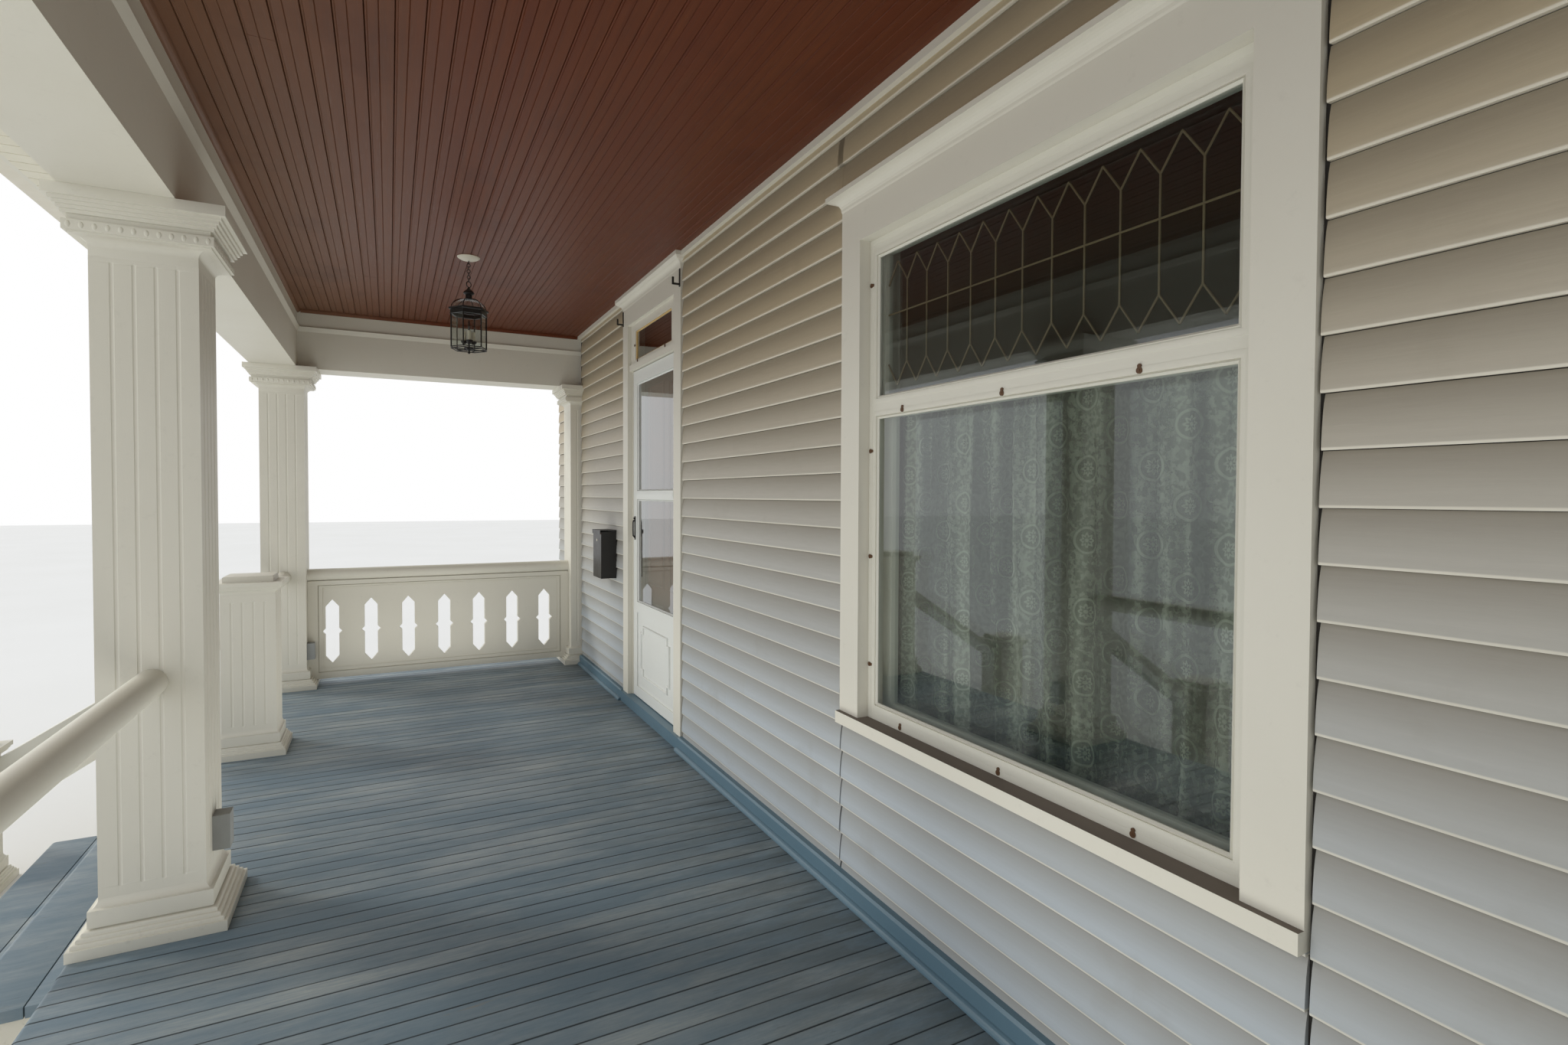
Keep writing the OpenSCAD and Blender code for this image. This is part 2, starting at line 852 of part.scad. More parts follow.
module fascia() {
    color(cream)
        translate([0, 0, soffit_low])
            linear_extrude(fascia_h)
                eave_band(eave_w, eave_w + fascia_t);
}

// Front gutter with closed ends, hung on the fascia
module gutter() {
    y = eave_y - fascia_t;
    x = eave_x + fascia_t;
    low = soffit_low + 12;
    color(cream)
        translate([-x, y, low])
            rotate([90, 0, 90])
                difference() {
                    linear_extrude(2 * x)
                        gutter_outline(0);
                    translate([0, 0, gutter_t])
                        linear_extrude(2 * (x - gutter_t))
                            gutter_outline(gutter_t);
                }
}

// Gutter section, less its sheet thickness on the closed sides
module gutter_outline(sheet) {
    foot = 0.68 * gutter_w;
    polygon([[-sheet, sheet], [-foot + sheet / 2, sheet], [-foot - 8 + sheet, gutter_h * 0.45],
        [-gutter_w + sheet, gutter_h * 0.8], [-gutter_w + sheet, gutter_h + (sheet > 0 ? cut : 0)],
        [-sheet, gutter_h + (sheet > 0 ? cut : 0)]]);
}

// Solid below a hip roof surface that starts at the given height over the eave line
module hip_solid(eave, out) {
    x = eave_x + out;
    y = eave_y - out;
    deep = wall_y - y;
    high = eave + roof_slope * deep;
    intersection() {
        translate([-x, 0, 0])
            rotate([90, 0, 90])
                linear_extrude(2 * x)
                    polygon([[y, 0], [wall_y, 0], [wall_y, high], [y, eave]]);
        translate([0, wall_y, 0])
            rotate([90, 0, 0])
                linear_extrude(deep)
                    polygon([[-x, 0], [x, 0], [x, eave], [x - deep, high], [-x + deep, high], [-x, eave]]);
    }
}

module roof_deck() {
    out = fascia_t;
    low = soffit_low + fascia_h - roof_slope * out;
    color(stain)
        difference() {
            hip_solid(low + roof_t, out);
            hip_solid(low, out + 2 * cut);
            block([-2 * eave_x, eave_y - 200, -cut], [2 * eave_x, wall_y + cut, soffit_low + fascia_h]);
        }
}

module roof_covering() {
    out = fascia_t + 20;
    low = soffit_low + fascia_h + roof_t - roof_slope * out;
    color(asphalt)
        difference() {
            hip_solid(low + covering_t, out);
            hip_solid(low, out + 2 * cut);
        }
}

// Door

// Boards round an opening, from the inner edges outward
module casing_boards(x, w, low, high, board, head) {
    block([x - w / 2 - board, casing_y, low], [x - w / 2, wall_y, high]);
    block([x + w / 2, casing_y, low], [x + w / 2 + board, wall_y, high]);
    block([x - w / 2 - board, casing_y, high], [x + w / 2 + board, wall_y, high + head]);
}

// Outline of a crown: reach beyond the board below against height, from the foot up
function crown_outline(height, out) = concat(
    [[0, 0]],
    arc([0.85 * out, 0.1 * height], 0.8 * out, 180, 100, 6),
    [[out, 0.72 * height], [out, height]]);

// A crown over a head board: it flares forward and to both sides
module crown(x, half, low, height, out) {
    outline = crown_outline(height, out);
    front = [for (p = outline) [casing_y - p[0], p[1]]];
    right = [for (p = outline) [half + p[0], p[1]]];
    left = [for (i = [len(right) - 1:-1:0]) [-right[i][0], right[i][1]]];
    intersection() {
        translate([x - half - out - cut, 0, low])
            rotate([90, 0, 90])
                linear_extrude(2 * (half + out + cut))
                    polygon(concat([[wall_y, height], [wall_y, 0]], front));
        translate([x, wall_y, low])
            rotate([90, 0, 0])
                linear_extrude(wall_y - casing_y + out + cut)
                    polygon(concat(right, left));
    }
}

module door_casing() {
    low = floor_z + sill_z;
    high = floor_z + transom_top_z;
    crown_h = window_crown_h + 20;
    head = ceiling_z - transom_top_z - crown_h;
    half = door_w / 2 + casing_w;
    color(cream) {
        casing_boards(door_x, door_w, low, high, casing_w, head);
        crown(door_x, half, high + head, crown_h, window_crown_out);
    }
}

// Sill, jambs, head, the bar under the transom, the transom's frame and the fixed hinge leaves
module door_frame() {
    left = door_x - door_w / 2;
    right = door_x + door_w / 2;
    low = floor_z + sill_z;
    bar = floor_z + door_head_z;
    front = casing_y + transom_back;
    pane_low = bar + transom_bar_h + transom_foot;
    pane_high = door_top - jamb_t - transom_head;
    color(cream) {
        block([left - jamb_t, wall_y, low], [left, wall_back, door_top]);
        block([right, wall_y, low], [right + jamb_t, wall_back, door_top]);
        block([left, wall_y, door_top - jamb_t], [right, wall_back, door_top]);
        block([left, front, bar], [right, leaf_y + leaf_t + frame_side, bar + transom_bar_h]);
        for (x = [left, right - frame_side])
            block([x, leaf_y, low], [x + frame_side, leaf_y + leaf_t + frame_side, bar]);
        difference() {
            block([left, front + transom_back, bar + transom_bar_h],
                [right, front + transom_back + transom_t, door_top - jamb_t]);
            block([left + transom_side, front, pane_low],
                [right - transom_side, front + transom_back + transom_t + cut, pane_high]);
        }
        for (foot = hinge_feet)
            hinge_half(foot, 1);
    }
    color(slate) {
        block([left - casing_w, porch_d - base_board_out, floor_z], [right + casing_w, wall_y, low]);
        block([left - jamb_t, wall_y, floor_z - board_t], [right + jamb_t, wall_back, low]);
    }
}

// Lower half of a hinge on the frame (side 1) or upper half on the leaf (side -1)
module hinge_half(foot, side) {
    half = (hinge_h - seat) / 2;
    low = side > 0 ? foot : foot + half + seat;
    from = side > 0 ? hinge_x : hinge_x - hinge_w;
    translate([hinge_x, hinge_y, low])
        cylinder(h = half, r = barrel_r, $fn = 32);
    block([from, leaf_y - hinge_t, low], [from + hinge_w, leaf_y, low + half]);
}

// Panelled house door behind the storm door
module entry_door() {
    left = door_x - door_w / 2;
    right = door_x + door_w / 2;
    back = wall_back - 50;
    low = floor_z + sill_z;
    high = floor_z + transom_top_z;
    color(stain)
        block([left, back, low], [right, back + 45, high]);
}

// Storm door frame with its middle bar
module storm_door() {
    in_left = leaf_left + leaf_stile_w;
    in_right = leaf_right - leaf_stile_w;
    color(cream)
        difference() {
            block([leaf_left, leaf_y, leaf_low], [leaf_right, leaf_y + leaf_t, leaf_high]);
            for (hole = [[leaf_low + leaf_foot_h, floor_z + leaf_lock_z - leaf_lock_h],
                    [floor_z + leaf_lock_z, floor_z + leaf_bar_z],
                    [floor_z + leaf_bar_z + leaf_bar_h, leaf_high - leaf_top_h]])
                block([in_left, leaf_y - cut, hole[0]], [in_right, leaf_y + leaf_t + cut, hole[1]]);
        }
}

module storm_glass() {
    in_left = leaf_left + leaf_stile_w;
    in_right = leaf_right - leaf_stile_w;
    middle = leaf_y + leaf_t / 2;
    color(pane)
        for (hole = [[floor_z + leaf_lock_z, floor_z + leaf_bar_z],
                [floor_z + leaf_bar_z + leaf_bar_h, leaf_high - leaf_top_h]])
            block([in_left, middle - glass_t / 2, hole[0]], [in_right, middle + glass_t / 2, hole[1]]);
}

module kick_panel() {
    low = leaf_low + leaf_foot_h;
    high = floor_z + leaf_lock_z - leaf_lock_h;
    color(cream)
        block([leaf_left + leaf_stile_w, leaf_y + 8, low], [leaf_right - leaf_stile_w, leaf_y + leaf_t - 8, high]);
}

// Pull on the far stile
module door_handle() {
    x = leaf_left + 38;
    color(iron) {
        block([x - 17, leaf_y - 5, floor_z + pull_z - pull_h / 2],
            [x + 17, leaf_y, floor_z + pull_z + pull_h / 2]);
        block([x - 9, leaf_y - 16, floor_z + pull_z - 62], [x + 9, leaf_y - 5, floor_z + pull_z - 30]);
    }
}

module leaf_hinges() {
    color(cream)
        for (foot = hinge_feet)
            hinge_half(foot, -1);
}

// Window

module window_casing() {
    low = floor_z + window_foot_z;
    high = floor_z + window_head_z;
    half = window_w / 2 + casing_w;
    color(cream) {
        casing_boards(window_x, window_w, low, high, casing_w, window_head_h);
        crown(window_x, half, high + window_head_h, window_crown_h, window_crown_out);
        block([window_x - half, porch_d - window_sill_out, low - window_sill_h],
            [window_x + half, wall_y, low]);
        for (side = [window_rough[0], window_rough[1] - jamb_t])
            block([side, wall_y, low - jamb_t], [side + jamb_t, wall_back, high + jamb_t]);
        block([window_rough[0] + jamb_t, wall_y, high], [window_rough[1] - jamb_t, wall_back, high + jamb_t]);
        block([window_rough[0] + jamb_t, wall_y, low - jamb_t], [window_rough[1] - jamb_t, wall_back, low]);
    }
}

module storm_window() {
    left = window_x - window_w / 2;
    right = window_x + window_w / 2;
    low = floor_z + window_foot_z;
    high = floor_z + window_head_z;
    y = casing_y + storm_back;
    color(cream)
        difference() {
            block([left, y, low], [right, y + storm_t, high]);
            for (hole = [[low + storm_foot_h, floor_z + storm_bar_z],
                    [floor_z + storm_bar_z + storm_bar_h, high - storm_head_h]])
                block([left + storm_side_w, y - cut, hole[0]], [right - storm_side_w, y + storm_t + cut, hole[1]]);
        }
}

// Panes of the storm window and the transom
module window_glass() {
    left = window_x - window_w / 2 + storm_side_w;
    right = window_x + window_w / 2 - storm_side_w;
    low = floor_z + window_foot_z + storm_foot_h;
    high = floor_z + window_head_z - storm_head_h;
    bar = floor_z + storm_bar_z;
    y = casing_y + storm_back + storm_t / 2;
    transom_y = casing_y + 2 * transom_back + transom_t / 2;
    color(pane) {
        for (hole = [[low, bar], [bar + storm_bar_h, high]])
            block([left, y - glass_t / 2, hole[0]], [right, y + glass_t / 2, hole[1]]);
        block([door_x - door_w / 2 + transom_side, transom_y - glass_t / 2,
                floor_z + door_head_z + transom_bar_h + transom_foot],
            [door_x + door_w / 2 - transom_side, transom_y + glass_t / 2,
                door_top - jamb_t - transom_head]);
    }
}

// Two sashes behind the storm window, the upper one in front
module window_sashes() {
    left = window_x - window_w / 2;
    right = window_x + window_w / 2;
    low = floor_z + window_foot_z;
    high = floor_z + window_head_z;
    meet = floor_z + storm_bar_z + storm_bar_h / 2;
    member = 50;
    back = sash_y + sash_t + sash_gap;
    color(cream) {
        sash([left, sash_y, meet - 20], [right, sash_y + sash_t, high], member);
        sash([left, back, low], [right, back + sash_t, meet + 20], member);
    }
}

module sash(low, high, member) {
    difference() {
        block(low, high);
        block([low[0] + member, low[1] - cut, low[2] + member], [high[0] - member, high[1] + cut, high[2] - member]);
    }
}

// Rod from jamb to jamb over the curtain
module curtain_rod() {
    color(cream)
        translate([window_x - window_w / 2, curtain_y + curtain_d / 2, curtain_top + seat + 6])
            rotate([0, 90, 0])
                cylinder(h = window_w, r = 6, $fn = 24);
}

// Closed solid of the gathered curtain behind the lower sash
module lace_curtain() {
    half = window_w / 2 - 20;
    color([0.9, 0.89, 0.84])
        block([window_x - half, curtain_y, floor_z + window_foot_z + 12],
            [window_x + half, curtain_y + curtain_d, curtain_top]);
}

// Dark board that stands for the unlit room behind the window
module dark_room() {
    color(dark)
        block([window_rough[0], wall_back, window_low], [window_rough[1], wall_back + 12, window_top]);
}

// Fittings

// Open-topped mailbox on a mounting block, with two ears for the lid's rod
module mailbox() {
    half = mailbox_w / 2;
    low = floor_z + mailbox_z;
    high = lid_z - rod_r - 5;
    ear = 6;
    color(iron) {
        difference() {
            block([mailbox_x - half, porch_d - mailbox_d, low], [mailbox_x + half, porch_d, high]);
            block([mailbox_x - half + mailbox_t, porch_d - mailbox_d + mailbox_t, low + mailbox_t],
                [mailbox_x + half - mailbox_t, porch_d - mailbox_t, high + cut]);
        }
        block([mailbox_x - half + 20, porch_d, low + 20], [mailbox_x + half - 20, wall_y, high - 20]);
        for (x = [-half, half - ear])
            difference() {
                block([mailbox_x + x, lid_y - 8, high], [mailbox_x + x + ear, porch_d, lid_z + rod_r]);
                translate([mailbox_x + x - cut, lid_y, lid_z])
                    rotate([0, 90, 0])
                        cylinder(h = ear + 2 * cut, r = rod_r + 0.1, $fn = 24);
            }
    }
}

// Lid with a front lip, turning on its rod
module mailbox_lid() {
    half = mailbox_w / 2;
    inner = half - 6 - 5;
    front = porch_d - mailbox_d - 5 - mailbox_t;
    color(iron) {
        translate([mailbox_x - half, lid_y, lid_z])
            rotate([0, 90, 0])
                cylinder(h = mailbox_w, r = rod_r, $fn = 24);
        block([mailbox_x - inner, lid_y - 20, lid_z], [mailbox_x + inner, lid_y, lid_z + rod_r]);
        block([mailbox_x - half, front, lid_z], [mailbox_x + half, lid_y - 13, lid_z + rod_r]);
        block([mailbox_x - half, front, lid_z - 26], [mailbox_x + half, front + mailbox_t, lid_z]);
    }
}

// Hooks at the upper corners of the door casing
module door_hooks() {
    half = door_w / 2 + casing_w - 12;
    low = floor_z + hook_z;
    color(iron)
        for (side = [-1, 1]) {
            x = door_x + side * half;
            block([x - 8, casing_y - 4, low], [x + 8, casing_y, low + 100]);
            block([x - 5, casing_y - 40, low + 8], [x + 5, casing_y - 4, low + 18]);
            block([x - 5, casing_y - 46, low + 8], [x + 5, casing_y - 36, low + 50]);
        }
}

// Outlet boxes on the inner faces of the middle column and, beside its panel, of the far column
module outlet_boxes() {
    w = 70;
    beside = (panel_frame_t / 2 + col_w / 2) / 2;
    color([0.55, 0.56, 0.55])
        for (x = [beside - end_x, 0])
            block([x - w / 2, col_w / 2, floor_z + 210], [x + w / 2, col_w / 2 + 50, floor_z + 330]);
}

module at_lantern() {
    translate([lantern_x, porch_d - lantern_y, ceiling_low])
        children();
}

// Canopy, chain, bell, ribbed dome, flared band and the bars of the cage
module lantern_frame() {
    color(iron)
        at_lantern() {
            translate([0, 0, -20])
                cylinder(h = 20, d1 = 60, d2 = 130, $fn = 48);
            translate([0, 0, -160])
                cylinder(h = 140, d = 10, $fn = 16);
            translate([0, 0, -200])
                cylinder(h = 40, d1 = 70, d2 = 20, $fn = 48);
            translate([0, 0, -260])
                cylinder(h = 60, r1 = lantern_r - 5, r2 = 30, $fn = 48);
            difference() {
                translate([0, 0, -310])
                    cylinder(h = 50, r = lantern_r + 5, $fn = 6);
                translate([0, 0, -311])
                    cylinder(h = 46, r = lantern_r - 10, $fn = 6);
            }
            for (i = [0:5])
                rotate([0, 0, 60 * i])
                    translate([lantern_r - 5, 0, -540])
                        cylinder(h = 232, r = 5, $fn = 12);
            difference() {
                translate([0, 0, -552])
                    cylinder(h = 12, r = lantern_r + 4, $fn = 6);
                translate([0, 0, -553])
                    cylinder(h = 14, r = 12, $fn = 6);
            }
        }
}

module lantern_glass() {
    color(pane)
        at_lantern()
            translate([0, 0, -540])
                difference() {
                    cylinder(h = 230, r = lantern_r - 12, $fn = 6);
                    translate([0, 0, -cut])
                        cylinder(h = 232, r = lantern_r - 16, $fn = 6);
                }
}

module lantern_lamps() {
    color([0.85, 0.82, 0.72])
        at_lantern()
            for (i = [0:2])
                rotate([0, 0, 120 * i])
                    translate([28, 0, -540])
                        cylinder(h = 120, d = 22, $fn = 24);
}

foundation();
wall_far();
wall_over_door();
wall_mid();
wall_window_bay();
wall_near();
base_board();
wall_trim();
deck();
deck_frame();
deck_piers();
skirt();
stair_stringers();
stair_treads();
stair_risers();
column_bases();
column_shafts();
column_capitals();
wall_pilasters();
stair_newels();
newel_caps();
round_rails();
end_panels();
stair_rails();
front_beam();
end_beams();
ceiling();
ceiling_moulding();
soffit();
fascia();
gutter();
roof_deck();
roof_covering();
door_casing();
door_frame();
entry_door();
storm_door();
storm_glass();
kick_panel();
door_handle();
leaf_hinges();
window_casing();
storm_window();
window_glass();
window_sashes();
curtain_rod();
lace_curtain();
dark_room();
mailbox();
mailbox_lid();
door_hooks();
outlet_boxes();
lantern_frame();
lantern_glass();
lantern_lamps();
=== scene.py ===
"""A front porch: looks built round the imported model. Metres, +X along the porch, -Y to the street."""

import math
import random

import bmesh
import bpy
from mathutils import Matrix, Vector


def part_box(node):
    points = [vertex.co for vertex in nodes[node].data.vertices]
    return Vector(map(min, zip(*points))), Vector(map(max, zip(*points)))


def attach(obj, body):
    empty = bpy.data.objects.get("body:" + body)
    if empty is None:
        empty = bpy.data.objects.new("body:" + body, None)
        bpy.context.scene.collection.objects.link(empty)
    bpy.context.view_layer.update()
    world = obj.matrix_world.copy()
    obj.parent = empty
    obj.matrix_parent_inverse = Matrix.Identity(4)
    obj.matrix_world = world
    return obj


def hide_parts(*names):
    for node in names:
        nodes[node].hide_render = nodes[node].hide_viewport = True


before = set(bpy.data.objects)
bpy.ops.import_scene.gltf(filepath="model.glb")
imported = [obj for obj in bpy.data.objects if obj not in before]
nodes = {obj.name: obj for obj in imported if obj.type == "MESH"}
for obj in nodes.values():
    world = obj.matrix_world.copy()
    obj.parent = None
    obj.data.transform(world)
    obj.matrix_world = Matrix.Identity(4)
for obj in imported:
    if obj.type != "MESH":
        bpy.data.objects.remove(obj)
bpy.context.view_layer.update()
random.seed(7)

# Main planes, read off the model
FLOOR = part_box("deck")[1].z
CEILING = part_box("ceiling")[0].z
WALL_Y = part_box("wall_mid")[0].y
WALL_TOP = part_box("wall_mid")[1].z
SIDING_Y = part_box("wall_trim")[0].y + 0.020
ROOF_SLOPE = 0.21

# Siding courses, counted down from a butt near the ceiling
COURSE = 0.1016
COURSE_START = FLOOR + 2.6447

# Floor boards
BOARD = 0.025
DECK_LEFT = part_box("deck")[0].x
DECK_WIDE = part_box("deck")[1].x - DECK_LEFT
DECK_COUNT = round(DECK_WIDE / 0.0770)
DECK_PITCH = DECK_WIDE / DECK_COUNT

# Columns and pilasters, with the plain lengths below and above their flutes
BAY = 3.550
COLUMNS = (-BAY, 0.0, BAY)
COLUMN = 0.275
PILASTER_Y = SIDING_Y - 0.085 + COLUMN / 2
BASE_REACH = 0.0655
CAPITAL_REACH = 0.085
CAPITAL_TALL = 0.163
CAPITAL_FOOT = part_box("column_capitals")[1].z - CAPITAL_TALL
FLUTE_FOOT = 0.036
FLUTE_TOP = 0.045


# Materials

def srgb(*channels):
    """A colour as it shows on screen, 0 to 255, in the numbers that a shader takes."""
    scaled = [c / 255 for c in channels]
    return tuple(c / 12.92 if c <= 0.04045 else ((c + 0.055) / 1.055) ** 2.4 for c in scaled) + (1.0,)


class Shade:
    """One output of a node. Python's operators on it add Math nodes."""

    def __init__(self, graph, socket):
        self.graph = graph
        self.socket = socket

    def __add__(self, other):
        return self.graph.math("ADD", self, other)

    __radd__ = __add__

    def __sub__(self, other):
        return self.graph.math("SUBTRACT", self, other)

    def __rsub__(self, other):
        return self.graph.math("SUBTRACT", other, self)

    def __mul__(self, other):
        return self.graph.math("MULTIPLY", self, other)

    __rmul__ = __mul__

    def __truediv__(self, other):
        return self.graph.math("DIVIDE", self, other)

    def __rtruediv__(self, other):
        return self.graph.math("DIVIDE", other, self)

    def above(self, limit):
        return self.graph.math("GREATER_THAN", self, limit)

    def fraction(self):
        return self.graph.math("FRACT", self)

    def size(self):
        return self.graph.math("ABSOLUTE", self)

    def to(self, power):
        return self.graph.math("POWER", self, power)


class Graph:
    """The nodes of a material or of the world, under construction."""

    def __init__(self, tree):
        self.tree = tree

    def feed(self, socket, value):
        """Links a shade to a socket, or sets a fixed value on it."""
        if isinstance(value, Shade):
            self.tree.links.new(value.socket, socket)
        else:
            socket.default_value = value

    def node(self, kind, settings, *values, out=0, **named):
        """Adds a node: its settings first, then its inputs in order or by name."""
        made = self.tree.nodes.new(kind)
        for key, value in settings.items():
            setattr(made, key, value)
        for i, value in enumerate(values):
            self.feed(made.inputs[i], value)
        for key, value in named.items():
            self.feed(made.inputs[key.replace("_", " ")], value)
        return Shade(self, made.outputs[out])

    def math(self, operation, *values):
        return self.node("ShaderNodeMath", {"operation": operation}, *values)


class Paint(Graph):
    """A material under construction, with its Principled shader."""

    def __init__(self, name, **fixed):
        self.material = bpy.data.materials.new(name)
        self.material.use_nodes = True
        super().__init__(self.material.node_tree)
        self.shader = self.tree.nodes["Principled BSDF"]
        for socket, value in fixed.items():
            self.feed(self.shader.inputs[socket.replace("_", " ")], value)
        self.place = self.node("ShaderNodeTexCoord", {}, out="Object")
        apart = self.node("ShaderNodeSeparateXYZ", {}, self.place)
        self.x, self.y, self.z = (Shade(self, axis) for axis in apart.socket.node.outputs)

    def stretched(self, sx, sy, sz):
        """The piece's coordinates, scaled along each axis."""
        return self.node("ShaderNodeVectorMath", {"operation": "MULTIPLY"}, self.place, (sx, sy, sz))

    def noise(self, scale, detail=4.0, rough=0.55, place=None):
        return self.node("ShaderNodeTexNoise", {}, Vector=place or self.place, Scale=scale, Detail=detail,
                         Roughness=rough, out="Fac")

    def fade(self, value, low, high):
        """0 where value is below low, 1 above high."""
        return self.node("ShaderNodeMapRange", {"clamp": True}, value, low, high, 0.0, 1.0)

    def mix(self, share, a, b):
        """Colour a where share is 0, b where it is 1."""
        made = self.node("ShaderNodeMix", {"data_type": "RGBA"}, share, out=2)
        for i, value in ((6, a), (7, b)):
            self.feed(made.socket.node.inputs[i], value)
        return made

    def island(self):
        """A random number from 0 to 1 for each loose part of the piece."""
        return self.node("ShaderNodeNewGeometry", {}, out="Random Per Island")

    def bump(self, height, strength, distance):
        made = self.node("ShaderNodeBump", {}, Strength=strength, Distance=distance, Height=height)
        self.feed(self.shader.inputs["Normal"], made)

    def finish(self, colour, rough):
        self.feed(self.shader.inputs["Base Color"], colour)
        self.feed(self.shader.inputs["Roughness"], rough)
        return self.material


def house_paint(name, base, dirt, gloss=0.42):
    """Brushed exterior paint: faint streaks, a little yellowing and grime low down."""
    paint = Paint(name)
    patches = paint.noise(2.3, 5)
    fine = paint.noise(60, 3, place=paint.stretched(1, 1, 0.15))
    colour = paint.mix(patches * 0.35, base, dirt)
    low = 1 - paint.fade(paint.z, 0.0, FLOOR + 0.12)
    specks = paint.fade(paint.noise(25, 6, 0.7), 0.60, 0.72)
    colour = paint.mix(specks * (low * 0.5 + 0.06), colour, srgb(92, 84, 68))
    paint.bump(fine + paint.noise(220, 2) * 0.4, 0.12, 0.002)
    return paint.finish(colour, patches * 0.15 + gloss)


def siding_paint():
    """Vinyl boards: embossed grain, painted highlights on the butt edges, painted shade under the butts, and
    painted cool shade towards the floor.
    """
    paint = Paint("siding")
    course = ((COURSE_START - paint.z) / COURSE).fraction()
    grain = paint.noise(9, 6, 0.6, paint.stretched(1, 1, 14))
    warm = paint.mix(grain * 0.5, srgb(184, 169, 140), srgb(166, 152, 126))
    cool = paint.mix(grain * 0.5, srgb(178, 186, 192), srgb(160, 168, 175))
    # Painted light: warm light high on the wall, a cool cast of shade towards the floor.
    colour = paint.mix(paint.fade(paint.z, FLOOR + 2.2, FLOOR + 0.4), warm, cool)
    # Painted shade under each butt: darker over the top of each board, darkest just under the butt above.
    colour = paint.mix((1 - paint.fade(course, 0.0, 0.75)) * 0.62, colour, srgb(124, 116, 102))
    colour = paint.mix((1 - paint.fade(course, 0.0, 0.10)) * 0.35, colour, srgb(96, 88, 74))
    # Painted highlight along each board's butt edge.
    colour = paint.mix(paint.fade(course, 0.94, 0.965) * 0.75, colour, srgb(228, 223, 208))
    colour = paint.mix(paint.fade(paint.noise(5, 6), 0.62, 0.8) * 0.2, colour, srgb(128, 118, 98))
    colour = paint.mix(paint.island() * 0.12, colour, srgb(150, 142, 124))
    paint.bump(grain, 0.25, 0.0015)
    return paint.finish(colour, grain * 0.15 + 0.42)


def sheathing():
    """Framed wall behind the siding: painted dark on its street face as the shade in the siding's gaps, plain
    boards elsewhere.
    """
    paint = Paint("sheathing")
    grain = paint.noise(5, 6, 0.6, paint.stretched(1, 1, 9))
    boards = paint.mix(grain, srgb(176, 164, 138), srgb(206, 196, 172))
    boards = paint.mix(1 - paint.fade((paint.z / 0.19).fraction(), 0.0, 0.03), boards, srgb(96, 86, 68))
    # Painted shade: the street face is dark so that gaps in the siding read as shadow.
    painted_gap_shade = paint.mix(grain, srgb(34, 32, 30), srgb(58, 54, 50))
    paint.bump(grain, 0.3, 0.002)
    return paint.finish(paint.mix(paint.fade(paint.y, WALL_Y + 0.001, WALL_Y + 0.003), painted_gap_shade, boards), 0.85)


def deck_paint():
    """Slate porch paint: worn pale along the boards, dirty by the wall, with scuffs and bare patches."""
    paint = Paint("floor_paint")
    along = paint.stretched(14, 0.9, 14)
    streaks = paint.noise(3.2, 7, 0.65, along)
    worn = paint.fade(paint.noise(1.6, 8, 0.7, paint.stretched(3, 0.8, 1)), 0.42, 0.70)
    fine = paint.noise(11, 5, 0.6, along)
    colour = paint.mix(streaks * 0.6 + fine * 0.4, srgb(84, 108, 124), srgb(128, 144, 154))
    colour = paint.mix(worn * fine * 0.9, colour, srgb(184, 186, 180))
    colour = paint.mix(paint.island() * 0.45, colour, srgb(92, 112, 126))
    scuffs = paint.fade(paint.noise(9, 8, 0.75, paint.stretched(6, 1, 1)), 0.59, 0.70)
    colour = paint.mix(scuffs * 0.6, colour, srgb(78, 88, 94))
    bare = paint.fade(paint.noise(2.4, 7, 0.7, paint.stretched(5, 0.6, 1)), 0.66, 0.72)
    colour = paint.mix(bare * 0.7, colour, srgb(128, 118, 102))
    dust = paint.fade(paint.noise(3.5, 6, 0.7, paint.stretched(3, 1, 1)), 0.35, 0.6)
    colour = paint.mix(paint.fade(paint.y, 1.35, 2.1) * dust * 0.6, colour, srgb(80, 84, 80))
    off_middle = (((paint.x - DECK_LEFT) / DECK_PITCH).fraction() - 0.5).size()
    top = paint.fade(paint.z, FLOOR - 0.05, FLOOR - 0.03)
    colour = paint.mix(paint.fade(off_middle, 0.44, 0.47) * top * 0.7, colour, srgb(46, 52, 54))
    paint.bump(streaks + paint.noise(120, 3, place=along) * 0.3, 0.35, 0.0015)
    return paint.finish(colour, 0.60 - worn * 0.2)


def ceiling_stain():
    """Red-brown stained boards under varnish, painted greyer and paler towards the street as a reflection of
    the sky.
    """
    paint = Paint("stained_wood", Coat_Roughness=0.28, Coat_Weight=0.08, Specular_IOR_Level=0.22)
    grain = paint.noise(5, 8, 0.65, paint.stretched(0.7, 22, 22))
    colour = paint.mix(grain, srgb(66, 28, 14), srgb(118, 64, 36))
    colour = paint.mix(paint.island() * 0.35, colour, srgb(90, 36, 20))
    # Painted reflection: paler and greyer towards the street, as the sky's sheen on the varnish.
    colour = paint.mix(paint.fade(paint.y, 1.0, 0.1) * 0.45, colour, srgb(138, 110, 86))
    colour = paint.mix(paint.fade(paint.noise(2.2, 6), 0.55, 0.75) * 0.4, colour, srgb(60, 28, 20))
    glints = paint.fade(paint.noise(34, 4, 0.6, paint.stretched(0.25, 9, 9)), 0.58, 0.72)
    paint.bump(grain, 0.2, 0.001)
    return paint.finish(colour, grain * 0.2 + 0.40 - glints * 0.18)


